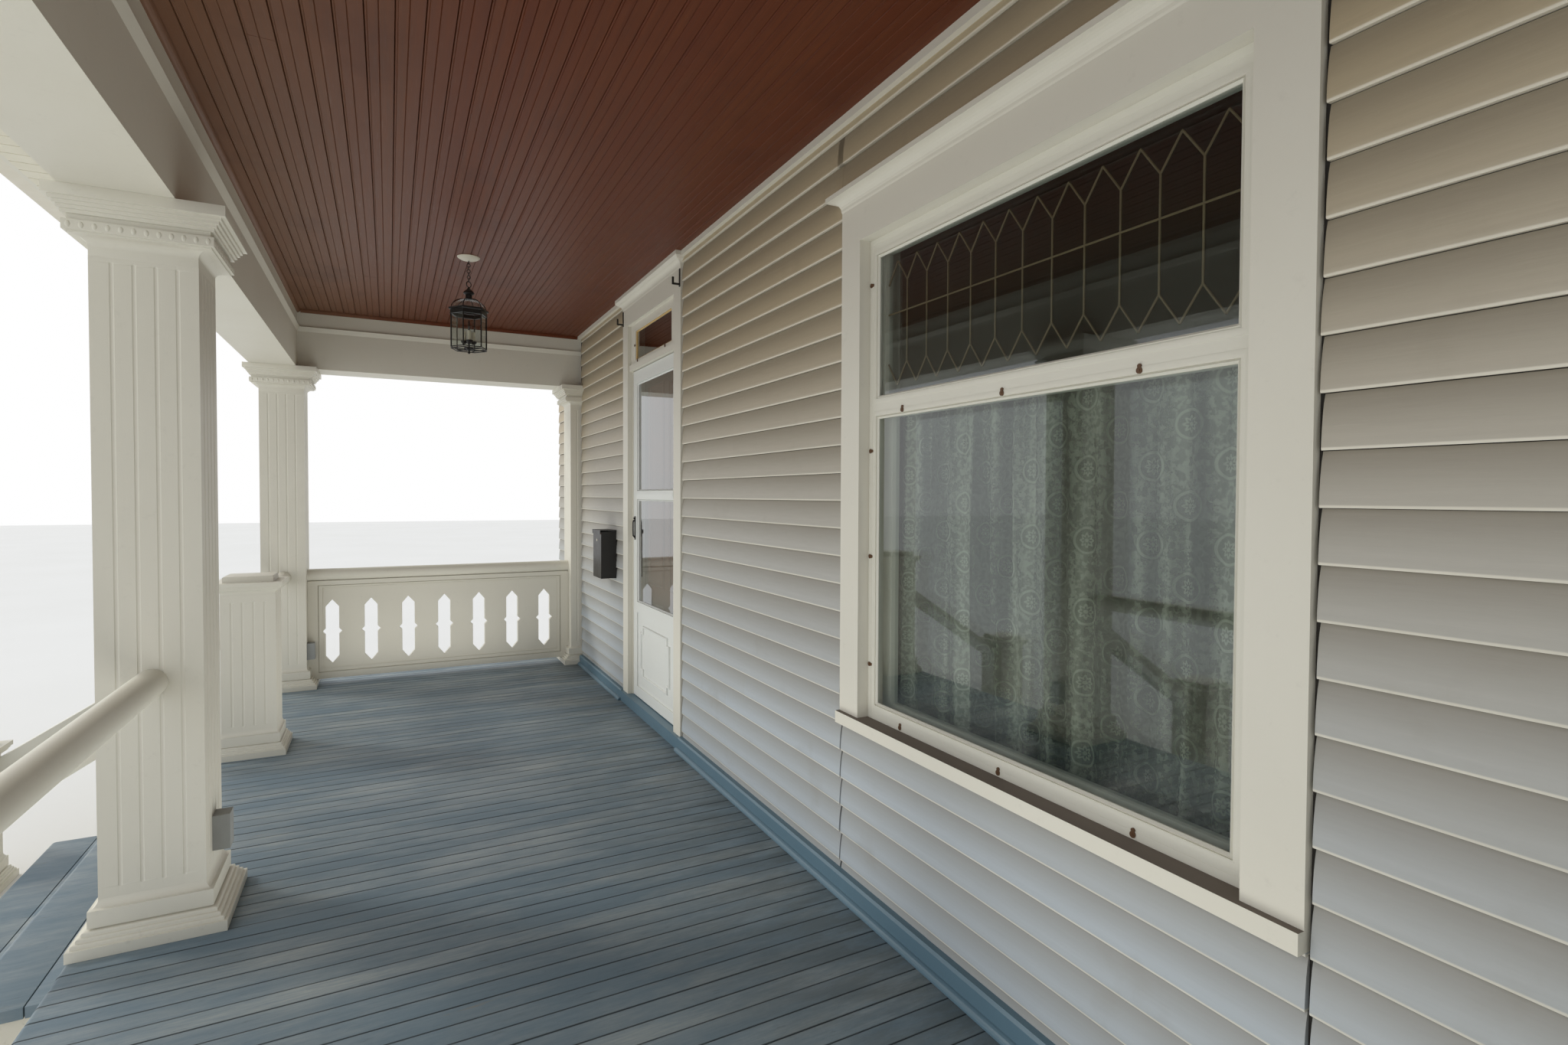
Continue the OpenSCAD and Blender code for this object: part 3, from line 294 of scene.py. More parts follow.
def masonry():
    """Painted concrete blocks with struck joints."""
    paint = Paint("masonry")
    flat = paint.node("ShaderNodeCombineXYZ", {}, paint.x + paint.y, paint.z, 0.0)
    blocks = paint.node("ShaderNodeTexBrick", {"offset": 0.5}, Vector=flat, Scale=1.0, Mortar_Size=0.006,
                        Brick_Width=0.40, Row_Height=0.20, out="Fac")
    speckle = paint.noise(90, 5, 0.7)
    colour = paint.mix(speckle, srgb(150, 146, 136), srgb(176, 172, 160))
    colour = paint.mix(blocks * 0.6, colour, srgb(112, 108, 100))
    colour = paint.mix(1 - paint.fade(paint.z, 0.0, 0.25), colour, srgb(110, 106, 92))
    paint.bump(speckle * 0.3 - blocks, 0.5, 0.004)
    return paint.finish(colour, 0.9)


def shingle():
    """Mineral-coated roof tabs, each a slightly different grey."""
    paint = Paint("shingle")
    grains = paint.noise(700, 2, 0.8)
    colour = paint.mix(grains, srgb(52, 52, 54), srgb(112, 110, 106))
    colour = paint.mix(paint.island() * 0.6, colour, srgb(66, 60, 54))
    colour = paint.mix(paint.fade(paint.noise(1.5, 4), 0.5, 0.8) * 0.4, colour, srgb(120, 118, 110))
    paint.bump(grains, 0.6, 0.002)
    return paint.finish(colour, 0.95)


def metal_paint(name, base, chip, gloss):
    """Smooth enamel with faint orange peel and a few dull patches."""
    paint = Paint(name)
    patches = paint.noise(14, 5, 0.6)
    colour = paint.mix(patches * 0.5, base, chip)
    paint.bump(paint.noise(260, 2), 0.08, 0.001)
    return paint.finish(colour, patches * 0.22 + gloss)


def bare_wood():
    """Unpainted roof boards with their grain along the porch."""
    paint = Paint("bare_wood")
    grain = paint.noise(6, 7, 0.6, paint.stretched(1, 12, 12))
    paint.bump(grain, 0.3, 0.001)
    return paint.finish(paint.mix(grain, srgb(150, 120, 84), srgb(190, 162, 122)), 0.75)


def pane(name, tint, mirror):
    """Flat glass: see-through, with a clean mirror on its outer face that grows at shallow angles."""
    paint = Paint(name)
    clear = paint.node("ShaderNodeBsdfTransparent", {}, tint)
    ripple = paint.node("ShaderNodeBump", {}, Strength=0.02, Distance=0.01, Height=paint.noise(1.6, 2))
    shine = paint.node("ShaderNodeBsdfGlossy", {}, (0.95, 0.97, 0.97, 1), 0.015, Normal=ripple)
    edge = paint.node("ShaderNodeFresnel", {}, IOR=1.52)
    inner = paint.node("ShaderNodeNewGeometry", {}, out="Backfacing")
    both = paint.node("ShaderNodeMixShader", {}, edge * (1 - inner) * mirror, clear, shine)
    paint.feed(paint.tree.nodes["Material Output"].inputs["Surface"], both)
    return paint.material


def lace():
    """Lace with round medallions in staggered rows on a leafy ground, denser along its folds, with painted
    light and shade in stripes along them.
    """
    paint = Paint("lace")
    wide, tall = 0.097, 0.187
    column = paint.x / wide
    stagger = (column * 0.5).fraction().above(0.5) * 0.5
    across = (column.fraction() - 0.5) * wide
    up = ((paint.z / tall + stagger).fraction() - 0.5) * tall
    reach = (across * across + up * up).to(0.5)
    petals = paint.math("COSINE", paint.math("ARCTAN2", up, across) * 8.0) * 0.0035
    rim = 1 - paint.fade((reach - 0.033).size(), 0.0022, 0.0042)
    core = 1 - paint.fade((reach - 0.014 - petals).size(), 0.0022, 0.0042)
    eye = 1 - paint.fade(reach, 0.004, 0.006)
    leaves = paint.fade(paint.noise(70, 3, 0.6), 0.47, 0.55)
    figure = rim + core + eye + leaves * paint.fade(reach, 0.036, 0.042) * 0.75
    # Painted light and shade of the folds: pale stripes where lit, dark between; the same stripes make the
    # lace denser.
    fold = paint.fade(paint.noise(13, 3, 0.5, paint.stretched(1, 1, 0.05)), 0.42, 0.62)
    paint.feed(paint.shader.inputs["Alpha"], paint.math("MINIMUM", figure, 1.0) * 0.42 + fold * 0.22 + 0.26)
    paint.bump(figure, 0.3, 0.001)
    return paint.finish(paint.mix(fold, srgb(116, 122, 106), srgb(202, 202, 184)), 0.9)


def dark_room():
    """A dark board behind the window, painted as the shade of the unlit room."""
    paint = Paint("dark_board")
    folds = paint.noise(3, 4)
    paint.bump(folds, 0.1, 0.002)
    return paint.finish(paint.mix(folds, srgb(14, 16, 14), srgb(34, 36, 32)), 0.8)


CREAM = house_paint("trim_paint", srgb(221, 218, 206), srgb(203, 197, 179))
WHITE = house_paint("storm_white", srgb(226, 228, 224), srgb(206, 206, 196), 0.34)
FRAME = house_paint("storm_cream", srgb(222, 220, 208), srgb(202, 198, 182), 0.36)
SLATE = house_paint("slate_paint", srgb(94, 122, 138), srgb(76, 98, 110), 0.36)
# Darker paint for the top of the window's sill.
SILL_TOP_DARK = house_paint("sill_top_dark", srgb(118, 108, 98), srgb(84, 78, 72), 0.7)
PUTTY = house_paint("putty", srgb(204, 172, 110), srgb(170, 140, 92), 0.6)
SLEEVE = house_paint("candle_sleeve", srgb(226, 220, 198), srgb(206, 196, 168), 0.5)
BLACK = metal_paint("black_metal", srgb(20, 20, 20), srgb(46, 42, 38), 0.28)
ENAMEL = metal_paint("trim_metal", srgb(222, 217, 202), srgb(204, 196, 178), 0.3)
VINYL = metal_paint("soffit_vinyl", srgb(226, 222, 206), srgb(212, 206, 186), 0.45)
OUTLET = metal_paint("outlet_grey", srgb(150, 152, 150), srgb(118, 120, 118), 0.5)
# Bronze for the turn buttons; on the mailbox lid's lip it is a painted highlight.
BRONZE_AND_HIGHLIGHT = metal_paint("bronze_and_lip_highlight", srgb(104, 74, 48), srgb(60, 42, 30), 0.35)
CAME = metal_paint("lead_came", srgb(122, 108, 82), srgb(84, 74, 58), 0.4)
SIDING = siding_paint()
DECK = deck_paint()
STAIN = ceiling_stain()
SHINGLE = shingle()
GLASS = pane("glass", (0.90, 0.93, 0.92, 1), 1.9)
CLEAR = pane("lantern_glass", (0.93, 0.95, 0.95, 1), 1.2)
LACE = lace()

for node in nodes.values():
    node.data.materials.clear()
    node.data.materials.append(CREAM)
for material, names in (
        (sheathing(), ("wall_far", "wall_over_door", "wall_mid", "wall_window_bay", "wall_near")),
        (masonry(), ("foundation", "deck_piers")),
        (SLATE, ("base_board",)),
        (DECK, ("deck", "stair_treads")),
        (STAIN, ("ceiling", "ceiling_moulding", "entry_door")),
        (bare_wood(), ("roof_deck",)),
        (SHINGLE, ("roof_covering",)),
        (GLASS, ("storm_glass", "window_glass")),
        (CLEAR, ("lantern_glass",)),
        (BLACK, ("door_handle", "mailbox", "mailbox_lid", "door_hooks", "lantern_frame")),
        (SLEEVE, ("lantern_lamps",)),
        (LACE, ("lace_curtain",)),
        (dark_room(), ("dark_room",)),
        (OUTLET, ("outlet_boxes",)),
        (ENAMEL, ("gutter", "leaf_hinges", "curtain_rod")),
        (VINYL, ("soffit",)),
        (FRAME, ("storm_window",)),
        (WHITE, ("storm_door", "kick_panel"))):
    for name in names:
        nodes[name].data.materials[0] = material


def second_coat(node, material, top, facing=-1.1):
    """Gives a second material to a node's faces below a height that face up at least so far, of -1 to 1."""
    node.data.materials.append(material)
    turn = node.matrix_world.to_3x3()
    for face in node.data.polygons:
        if (node.matrix_world @ face.center).z < top and (turn @ face.normal).z > facing:
            face.material_index = 1


# The painted threshold, and the darker top of the window's sill
second_coat(nodes["door_frame"], SLATE, FLOOR + 0.078)
second_coat(nodes["window_casing"], SILL_TOP_DARK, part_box("storm_window")[0].z + 0.010, 0.5)


# Mesh making

def slab(bm, low, high):
    """Adds a box with these low and high corners."""
    low, high = Vector(low), Vector(high)
    place = Matrix.Translation((low + high) / 2) @ Matrix.Diagonal((*(high - low), 1))
    bmesh.ops.create_cube(bm, size=1, matrix=place)


def angles(count, extra=0):
    """Equal steps round a circle, in radians, and extra ones that begin the next turn."""
    return [2 * math.pi * k / count for k in range(count + extra)]


def web(bm, rows):
    """Joins each open row of points to the next one."""
    for low, high in zip(rows, rows[1:]):
        for i in range(len(low) - 1):
            bm.faces.new((low[i], low[i + 1], high[i + 1], high[i]))


def bridge(bm, rings, around=False):
    """Joins each closed ring of points to the next one, and with around the last one to the first."""
    for low, high in zip(rings, rings[1:] + (rings[:1] if around else [])):
        for i in range(max(len(low), len(high))):
            k = i + 1
            corners = (low[i % len(low)], low[k % len(low)], high[k % len(high)], high[i % len(high)])
            bm.faces.new(list(dict.fromkeys(corners)))


def tube(bm, rings):
    """Joins the rings in a row and closes both ends. A ring of one point is a tip."""
    bridge(bm, rings)
    for end in (rings[0][::-1], rings[-1]):
        if len(end) > 1:
            bm.faces.new(end)


def run(bm, outline, place):
    """Sweeps an outline between two ends: place(point, end) gives its corner at end 0 or 1."""
    tube(bm, [[bm.verts.new(place(point, end)) for point in outline] for end in (0, 1)])


def cut_off(bm, point, normal):
    """Cuts away everything on the side that the normal points to, and closes the cuts."""
    everything = bm.verts[:] + bm.edges[:] + bm.faces[:]
    made = bmesh.ops.bisect_plane(bm, geom=everything, plane_co=point, plane_no=normal, clear_outer=True)
    edges = [e for e in made["geom_cut"] if isinstance(e, bmesh.types.BMEdge) and e.is_boundary]
    if edges:
        bmesh.ops.edgenet_fill(bm, edges=edges)


def rod(bm, a, b, r, sides=12):
    """Adds a closed round bar from a to b."""
    a, b = Vector(a), Vector(b)
    turn = (b - a).to_track_quat("Z", "Y").to_matrix().to_4x4()
    bmesh.ops.create_cone(bm, cap_ends=True, segments=sides, radius1=r, radius2=r, depth=(b - a).length,
                          matrix=Matrix.Translation((a + b) / 2) @ turn)


def bent_rod(bm, points, r, sides=10):
    """Adds a round bar through the points, mitred at the bends and closed at both ends."""
    sharpest = 0.4
    points = [Vector(p) for p in points]
    ways = [(b - a).normalized() for a, b in zip(points, points[1:])]
    turns = [ways[0]] + [(a + b).normalized() for a, b in zip(ways, ways[1:])] + [ways[-1]]
    across = ways[0].orthogonal().normalized()
    rings = []
    for i, (point, way) in enumerate(zip(points, turns)):
        across = (across - across.project(way)).normalized()
        other = way.cross(across)
        wide = r / max(sharpest, way.dot(ways[min(i, len(ways) - 1)]))
        rings.append([bm.verts.new(point + wide * (math.cos(a) * across + math.sin(a) * other))
                      for a in angles(sides)])
    tube(bm, rings)


def level_ring(bm, radius, height, centre, sides):
    """Points on a level circle, or one point where the radius is 0."""
    return [bm.verts.new((centre[0] + radius * math.cos(a), centre[1] + radius * math.sin(a), height))
            for a in angles(sides if radius else 1)]


def turned(bm, outline, centre, sides=48):
    """Adds a solid of revolution about a vertical line: outline is (radius, height) from the bottom up."""
    tube(bm, [level_ring(bm, radius, height, centre, sides) for radius, height in outline])


def piece(name, bm, material, body="porch", replaces=(), soften=0.0, steps=1, angle=32):
    """Turns the mesh into a piece that rides on a body, with its sharp edges softened."""
    bmesh.ops.remove_doubles(bm, verts=bm.verts, dist=1e-6)
    if soften:
        edges = [e for e in bm.edges if len(e.link_faces) == 2 and e.calc_face_angle(0) > math.radians(angle)]
        bmesh.ops.bevel(bm, geom=edges, offset=soften, segments=steps, profile=0.7, affect="EDGES",
                        clamp_overlap=True)
    bmesh.ops.recalc_face_normals(bm, faces=bm.faces)
    mesh = bpy.data.meshes.new(name)
    bm.to_mesh(mesh)
    bm.free()
    mesh.materials.append(material)
    for face in mesh.polygons:
        face.use_smooth = True
    mesh.set_sharp_from_angle(angle=math.radians(angle))
    made = bpy.data.objects.new(name, mesh)
    bpy.context.scene.collection.objects.link(made)
    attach(made, body)
    if replaces:
        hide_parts(*replaces)
    return made


def joined(parts):
    """One mesh of several, which are used up."""
    whole = bmesh.new()
    for part in parts:
        mesh = bpy.data.meshes.new("part")
        part.to_mesh(mesh)
        part.free()
        whole.from_mesh(mesh)
        bpy.data.meshes.remove(mesh)
    return whole


# Siding

# A board's face from its butt up: how far behind the foremost line, and how high
BOARD_FACE = ((0.0012, 0.0), (0.0, 0.0025), (0.0002, 0.014), (0.0012, 0.034), (0.0034, 0.060),
              (0.0064, 0.082), (0.0108, COURSE - 0.001))


def siding_run(left, right, low, high, gap=0.0):
    """Lapped boards over one stretch of wall, with a few end laps; both ends stop a little unevenly."""
    back = WALL_Y - 0.0005
    bm = bmesh.new()
    for k in range(math.floor((COURSE_START - high) / COURSE), math.ceil((COURSE_START - low) / COURSE)):
        butt = COURSE_START - (k + 1) * COURSE
        outline = [(back, butt + 0.001)] + [(SIDING_Y + behind, butt + up) for behind, up in BOARD_FACE]
        outline.append((back, butt + COURSE - 0.001))
        stops = [left + gap * random.uniform(0.5, 1.0)]
        if right - left > 1.2 and random.random() < 0.5:
            stops.append(random.uniform(left + 0.4, right - 0.4))
        stops.append(right - gap * random.uniform(0.5, 1.0))
        for i, (a, b) in enumerate(zip(stops, stops[1:])):
            ends = (a - 0.012 if i else a, b)
            proud = 0.0007 * i
            run(bm, outline, lambda p, end: (ends[end], p[0] - (proud if p[0] < back - 0.002 else 0.0), p[1]))
    return bm


def trimmed(left, right, low, high, gap=0.0):
    """A stretch of siding, cut off level at its foot and its top."""
    bm = siding_run(left, right, low, high, gap)
    cut_off(bm, (0, 0, low), (0, 0, -1))
    cut_off(bm, (0, 0, high), (0, 0, 1))
    return bm


def siding_in_porch():
    """Boards beside the door, and round the window, whose crown is wider than its casing."""
    door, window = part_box("door_frame"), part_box("window_casing")
    crown_out, gap = 0.045, 0.011
    left, right = window[0].x + crown_out, window[1].x - crown_out
    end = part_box("base_board")[1].x + 0.045
    low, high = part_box("base_board")[1].z - 0.004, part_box("wall_trim")[0].z
    piece("siding_in_porch", joined([
        trimmed(-end, door[0].x, low, high, gap),
        trimmed(door[1].x, left, low, high, gap),
        trimmed(left, right, low, window[0].z),
        trimmed(window[0].x, window[1].x, window[1].z, high),
        trimmed(right, end, low, high, gap)]), SIDING)


def siding_beside_porch():
    """Boards past both pilasters, from the wall's foot to the soffit."""
    inner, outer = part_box("wall_pilasters")[1].x + 0.004, -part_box("wall_far")[0].x
    foot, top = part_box("wall_far")[0].z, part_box("soffit")[0].z
    piece("siding_beside_porch", joined([
        trimmed(-outer, -inner, foot, top), trimmed(inner, outer, foot, top)]), SIDING)


def siding_over_roof():
    """Boards above the roof, cut level over its front slope and aslant over its hips."""
    outer = -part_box("wall_far")[0].x
    eave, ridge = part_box("roof_covering")
    flat = ridge.x - (WALL_Y - eave.y)
    eave_z = ridge.z - ROOF_SLOPE * (ridge.y - eave.y)
    clear = 0.006
    bm = siding_run(-outer, outer, eave_z, WALL_TOP)
    cut_off(bm, (0, 0, WALL_TOP), (0, 0, 1))
    cut_off(bm, (0, 0, eave_z + 0.01), (0, 0, -1))
    parts = []
    for side in (-1, 0, 1):
        part = bm.copy()
        if side:
            cut_off(part, (side * flat, 0, 0), (-side, 0, 0))
            cut_off(part, (side * ridge.x, 0, eave_z + clear), (-side * ROOF_SLOPE, 0, -1))
        else:
            cut_off(part, (flat, 0, 0), (1, 0, 0))
            cut_off(part, (-flat, 0, 0), (-1, 0, 0))
            cut_off(part, (0, 0, ridge.z + clear), (0, 0, -1))
        parts.append(part)
    bm.free()
    piece("siding_over_roof", joined(parts), SIDING)


# Floor, stair and skirt

def nosing(front, top, r, drop=0.0):
    """Points of a board's rounded front edge, from its top to its underside."""
    return [(front + r - r * math.sin(a), top - r + (r - drop) * math.cos(a))
            for a in (math.radians(degrees) for degrees in range(0, 181, 20))]


def deck_boards():
    """Narrow boards from the wall to a rounded nosing, each a hair lower or shorter than its neighbours."""
    low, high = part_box("deck")
    joint = 0.0011
    bm = bmesh.new()
    for i in range(DECK_COUNT):
        ends = (DECK_LEFT + i * DECK_PITCH + joint, DECK_LEFT + i * DECK_PITCH + DECK_PITCH - joint)
        drop = random.uniform(0.0002, 0.0012)
        front = low.y + random.uniform(0.0, 0.003)
        outline = [(high.y, FLOOR - drop)] + nosing(front, FLOOR, BOARD / 2, drop) + [(high.y, FLOOR - BOARD)]
        run(bm, outline, lambda p, end: (ends[end], *p))
    piece("deck_boards", bm, DECK, replaces=["deck"], soften=0.0018, steps=2, angle=50)


def stair_boards():
    """Two boards a tread, the front one with a rounded nosing."""
    low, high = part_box("stair_treads")
    steps, lap, joint = 2, 0.048, 0.002
    rise = high.z / steps
    thick = rise - low.z
    going = (high.y - low.y - lap) / steps
    bm = bmesh.new()
    for i in range(steps):
        front = low.y + going * i
        back = front + going + lap
        middle = (front + back) / 2
        top = rise * (i + 1)
        foot = top - thick
        for outline in ([(middle - joint, top)] + nosing(front, top, thick / 2) + [(middle - joint, foot)],
                        [(back, top - 0.001), (middle + joint, top - 0.0005), (middle + joint, foot),
                         (back, foot)]):
            run(bm, outline, lambda p, end: ((low.x, high.x)[end], *p))
    piece("stair_boards", bm, DECK, replaces=["stair_treads"], soften=0.002, steps=2, angle=50)


def board_edges(start, end):
    """Both edges of each upright board between two places, with open joints between the boards."""
    joint, width = 0.002, 0.14
    count = max(1, round((end - start) / width))
    step = (end - start) / count
    return [(start + step * i + joint, start + step * (i + 1) - joint) for i in range(count)]


def skirt_boards():
    """Upright boards round the three open sides."""
    low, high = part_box("skirt")
    thick = 0.020
    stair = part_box("stair_stringers")
    bm = bmesh.new()
    for a, b in board_edges(low.x, stair[0].x) + board_edges(stair[1].x, high.x):
        slab(bm, (a, low.y, low.z), (b, low.y + thick, high.z))
    for x in (low.x, high.x - thick):
        for a, b in board_edges(low.y + thick, high.y):
            slab(bm, (x, a, low.z), (x + thick, b, high.z))
    piece("skirt_boards", bm, CREAM, replaces=["skirt"], soften=0.002)


# Ceiling and eaves

def beadboard():
    """Narrow boards along the porch: a wide groove at each joint, a narrow one between, a few end joints."""
    low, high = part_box("ceiling")
    pitch, first = 0.0784, 0.157
    half = pitch / 2
    section = [(0.0006, 0.0042), (0.0020, 0.0010), (0.0034, 0.0), (0.0058, 0.0), (0.0068, 0.0010),
               (0.0076, 0.0014), (0.0086, 0.0), (half - 0.0046, 0.0), (half - 0.0036, 0.0010),
               (half - 0.0028, 0.0026), (half - 0.0018, 0.0010), (half - 0.0008, 0.0), (pitch - 0.0018, 0.0),
               (pitch - 0.0006, 0.0042), (pitch - 0.0006, high.z - low.z), (0.0006, high.z - low.z)]
    bm = bmesh.new()
    y = first - pitch
    while y < high.y:
        outline = [(min(max(y + a, low.y), high.y), low.z + b) for a, b in section]
        stops = [low.x, high.x]
        if random.random() < 0.7:
            stops.insert(1, random.uniform(low.x + 0.6, high.x - 0.6))
        for a, b in zip(stops, stops[1:]):
            ends = (a + 0.0005, b - 0.0005)
            up = random.uniform(0.0, 0.0006)
            run(bm, outline, lambda p, end: (ends[end], p[0], p[1] + (up if p[1] < high.z - 0.001 else 0)))
        y += pitch
    bmesh.ops.dissolve_degenerate(bm, dist=1e-6, edges=bm.edges)
    piece("beadboard", bm, STAIN, replaces=["ceiling"], angle=40)


def soffit_panels():
    """Ribbed vinyl across the eaves, mitred at the two corners."""
    low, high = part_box("soffit")
    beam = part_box("front_beam")
    pitch, deep = 0.1016, 0.005

    def ribs(start, end):
        outline = [(start, high.z), (start, low.z + deep)]
        at = start
        while at < end - pitch:
            for step, rise in ((0.0030, deep), (0.0045, 0.0), (0.0971, 0.0), (0.0986, deep)):
                outline.append((at + step, low.z + rise))
            at += pitch
        return outline + [(end, low.z + deep), (end, high.z)]

    front = bmesh.new()
    run(front, ribs(low.x, high.x), lambda p, end: (p[0], (low.y, beam[0].y)[end], p[1]))
    parts = [front]
    for side in (-1, 1):
        cut_off(front, (side * beam[1].x, beam[0].y, 0), (side, 1, 0))
        part = bmesh.new()
        run(part, ribs(low.y, high.y), lambda p, end: (side * (beam[1].x, high.x)[end], *p))
        cut_off(part, (side * beam[1].x, beam[0].y, 0), (-side, -1, 0))
        parts.append(part)
    piece("soffit_panels", joined(parts), VINYL, replaces=["soffit"])


# A tab's six faces, by the numbers of its corners: four below, then four above
TAB_FACES = ((0, 3, 2, 1), (4, 5, 6, 7), (0, 1, 5, 4), (1, 2, 6, 5), (2, 3, 7, 6), (3, 0, 4, 7))


def tab_courses(length, deep, shift):
    """Tabs on a slope that starts at the origin: x along the eave, y up the slope."""
    tab, show, gap, lap = 0.305, 0.127, 0.003, 0.02
    thick, thin, edge = 0.012, 0.0065, 0.001
    bm = bmesh.new()
    for row in range(math.ceil(deep / show)):
        y = row * show
        far = min(y + show + lap, deep)
        x = -length / 2 - tab * (0.5 * (row % 2) + shift)
        while x < length / 2:
            a, b = max(x + gap, -length / 2), min(x + tab - gap, length / 2)
            if b - a > 0.01 and far - y > lap:
                sag = random.uniform(-0.0006, 0.0006)
                front = -edge - (0.0 if row else edge)
                corners = [(a, y, -thick), (b, y, -thick), (b, far, -thick), (a, far, -thick),
                           (a, y, front + sag), (b, y, front - sag), (b, far, -thin), (a, far, -thin)]
                points = [bm.verts.new((px, py, pz + ROOF_SLOPE * py)) for px, py, pz in corners]
                for quad in TAB_FACES:
                    bm.faces.new([points[i] for i in quad])
            x += tab
    return bm


def hip_caps(low, high, eave):
    """Tabs bent over both hips, each lapped over the one below it."""
    steps, wide, sheet, lap = 24, 0.10, 0.004, 0.12
    deep = high.y - low.y
    section = [(-wide, sheet), (0.0, sheet), (wide, sheet), (wide, 0.0), (0.0, 0.0), (-wide, 0.0)]
    bm = bmesh.new()
    for side in (-1, 1):
        for i in range(steps):
            stops = [deep * i / steps, min(deep * (i + 1 + lap) / steps, deep)]

            def fold(p, end):
                """p is the way off the hip, and the height over the roof."""
                up, off = stops[end], p[0] / math.sqrt(2)
                lift = (0.0030, 0.0012)[end]
                return (side * (high.x - up + off), low.y + up + off,
                        eave + ROOF_SLOPE * (up - abs(off)) + p[1] + lift)

            run(bm, section, fold)
        cut_off(bm, (side * high.x, 0, 0), (side, 0, 0))
    cut_off(bm, (0, low.y, 0), (0, -1, 0))
    cut_off(bm, (0, high.y, 0), (0, 1, 0))
    return bm


def roof_shingles():
    """Tabs in courses up three slopes, cut at the hips, with cap tabs along the hips."""
    low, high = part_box("roof_covering")
    deep = high.y - low.y
    eave = high.z - ROOF_SLOPE * deep
    front = tab_courses(2 * high.x, deep, 0.0)
    bmesh.ops.translate(front, vec=(0, low.y, eave), verts=front.verts)
    parts = [front]
    for side in (-1, 1):
        cut_off(front, (side * high.x, low.y, 0), (side, 1, 0))
    for side in (-1, 1):
        part = tab_courses(deep, deep, 0.25)
        place = Matrix.Translation((side * high.x, (low.y + high.y) / 2, eave))
        turn = Matrix.Rotation(math.radians(90 * side), 4, "Z")
        bmesh.ops.transform(part, matrix=place @ turn, verts=part.verts)
        cut_off(part, (side * high.x, low.y, 0), (-side, -1, 0))
        parts.append(part)
    parts.append(hip_caps(low, high, eave))
    piece("roof_shingles", joined(parts), SHINGLE, replaces=["roof_covering"])


# Columns

def square_stack(bm, outline, centre, half):
    """Adds a square moulding round a post: outline is (reach past its face, height) from the bottom up."""
    corners = ((-1, -1), (1, -1), (1, 1), (-1, 1))
    tube(bm, [[bm.verts.new((centre[0] + sx * (half + reach), centre[1] + sy * (half + reach), height))
               for sx, sy in corners] for reach, height in outline])


def quarter(a, b, upright, steps=6):
    """Points of a quarter ellipse from a to b, which leaves a upright or level."""
    points = []
    for i in range(steps + 1):
        s, c = math.sin(math.pi * i / 2 / steps), math.cos(math.pi * i / 2 / steps)
        points.append((b[0] + (a[0] - b[0]) * c, a[1] + (b[1] - a[1]) * s) if upright else
                      (a[0] + (b[0] - a[0]) * s, b[1] + (a[1] - b[1]) * c))
    return points


# The capital's bead band, in shares of the capital's reach and height
BEAD_OUT, BEAD_LOW, BEAD_HIGH = 0.58, 0.22, 0.41


def capital_profile():
    """Neck, cove, bead band, groove, stepped fillets and square abacus."""
    low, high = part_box("column_capitals")
    step, rise = 0.085, 0.0675
    shares = quarter((0.0, 0.02), (0.4, 0.18), True)
    shares += [(0.48, 0.18), (0.48, BEAD_LOW), (BEAD_OUT, BEAD_LOW), (BEAD_OUT, BEAD_HIGH),
               (0.46, BEAD_HIGH), (0.46, 0.52)]
    for i in range(4):
        shares += [(0.6 + step * i, 0.52 + rise * i), (0.6 + step * i, 0.52 + rise * (i + 1))]
    shares.append((1.0, 0.79))
    moulding = [(x * CAPITAL_REACH, CAPITAL_FOOT + z * CAPITAL_TALL) for x, z in shares]
    return [(0.0, low.z), (0.0, CAPITAL_FOOT)] + moulding + [(CAPITAL_REACH, high.z)]


def capitals():
    """The mouldings, and a row of small upright beads on each face."""
    bm = bmesh.new()
    for x in COLUMNS:
        square_stack(bm, capital_profile(), (x, 0.0), COLUMN / 2)
    piece("capital_mouldings", bm, CREAM, replaces=["column_capitals"], soften=0.0009, steps=2)
    bm = bmesh.new()
    count, half = 12, COLUMN / 2 + BEAD_OUT * CAPITAL_REACH
    height = CAPITAL_FOOT + (BEAD_LOW + BEAD_HIGH) / 2 * CAPITAL_TALL
    size = Matrix.Diagonal((0.0068, 0.0036, 0.0105, 1))
    for x, y, faces in [(x, 0.0, 4) for x in COLUMNS] + [(x, PILASTER_Y, 1) for x in (-BAY, BAY)]:
        for face in range(faces):
            turn = Matrix.Translation((x, y, 0)) @ Matrix.Rotation(math.radians(90 * face), 4, "Z")
            for i in range(count):
                at = Matrix.Translation((-half + (i + 0.5) * 2 * half / count, -half + 0.0008, height))
                bmesh.ops.create_uvsphere(bm, u_segments=12, v_segments=8, radius=1.0,
                                          matrix=turn @ at @ size)
    piece("capital_beads", bm, CREAM, angle=80)


def fluted_post(bm, centre, half, low, high, flute_low, flute_high):
    """Adds a square post with four shallow stopped flutes on each face."""
    flutes, wide, deep = 4, 0.0058, 0.0020
    pitch = 2 * half / (flutes + 1)
    ends = [1.0, 0.92, 0.7, 0.38, 0.0]
    spread = [-t for t in ends] + ends[-2::-1]
    xs = [-half] + [-half + pitch * (i + 1) + wide * t for i in range(flutes) for t in spread] + [half]
    zs = [low] + [flute_low - wide * t for t in ends] + [flute_high + wide * t for t in ends[::-1]] + [high]

    def sunk(x, z):
        across = min(abs(x + half - pitch * (i + 1)) for i in range(flutes)) / wide
        past = max(flute_low - z, z - flute_high, 0.0) / wide
        return deep * math.sqrt(max(0.0, 1 - across ** 2 - past ** 2))

    for face in range(4):
        turn = Matrix.Translation((*centre, 0)) @ Matrix.Rotation(math.radians(90 * face), 4, "Z")
        web(bm, [[bm.verts.new(turn @ Vector((x, -half + sunk(x, z), z))) for x in xs] for z in zs])


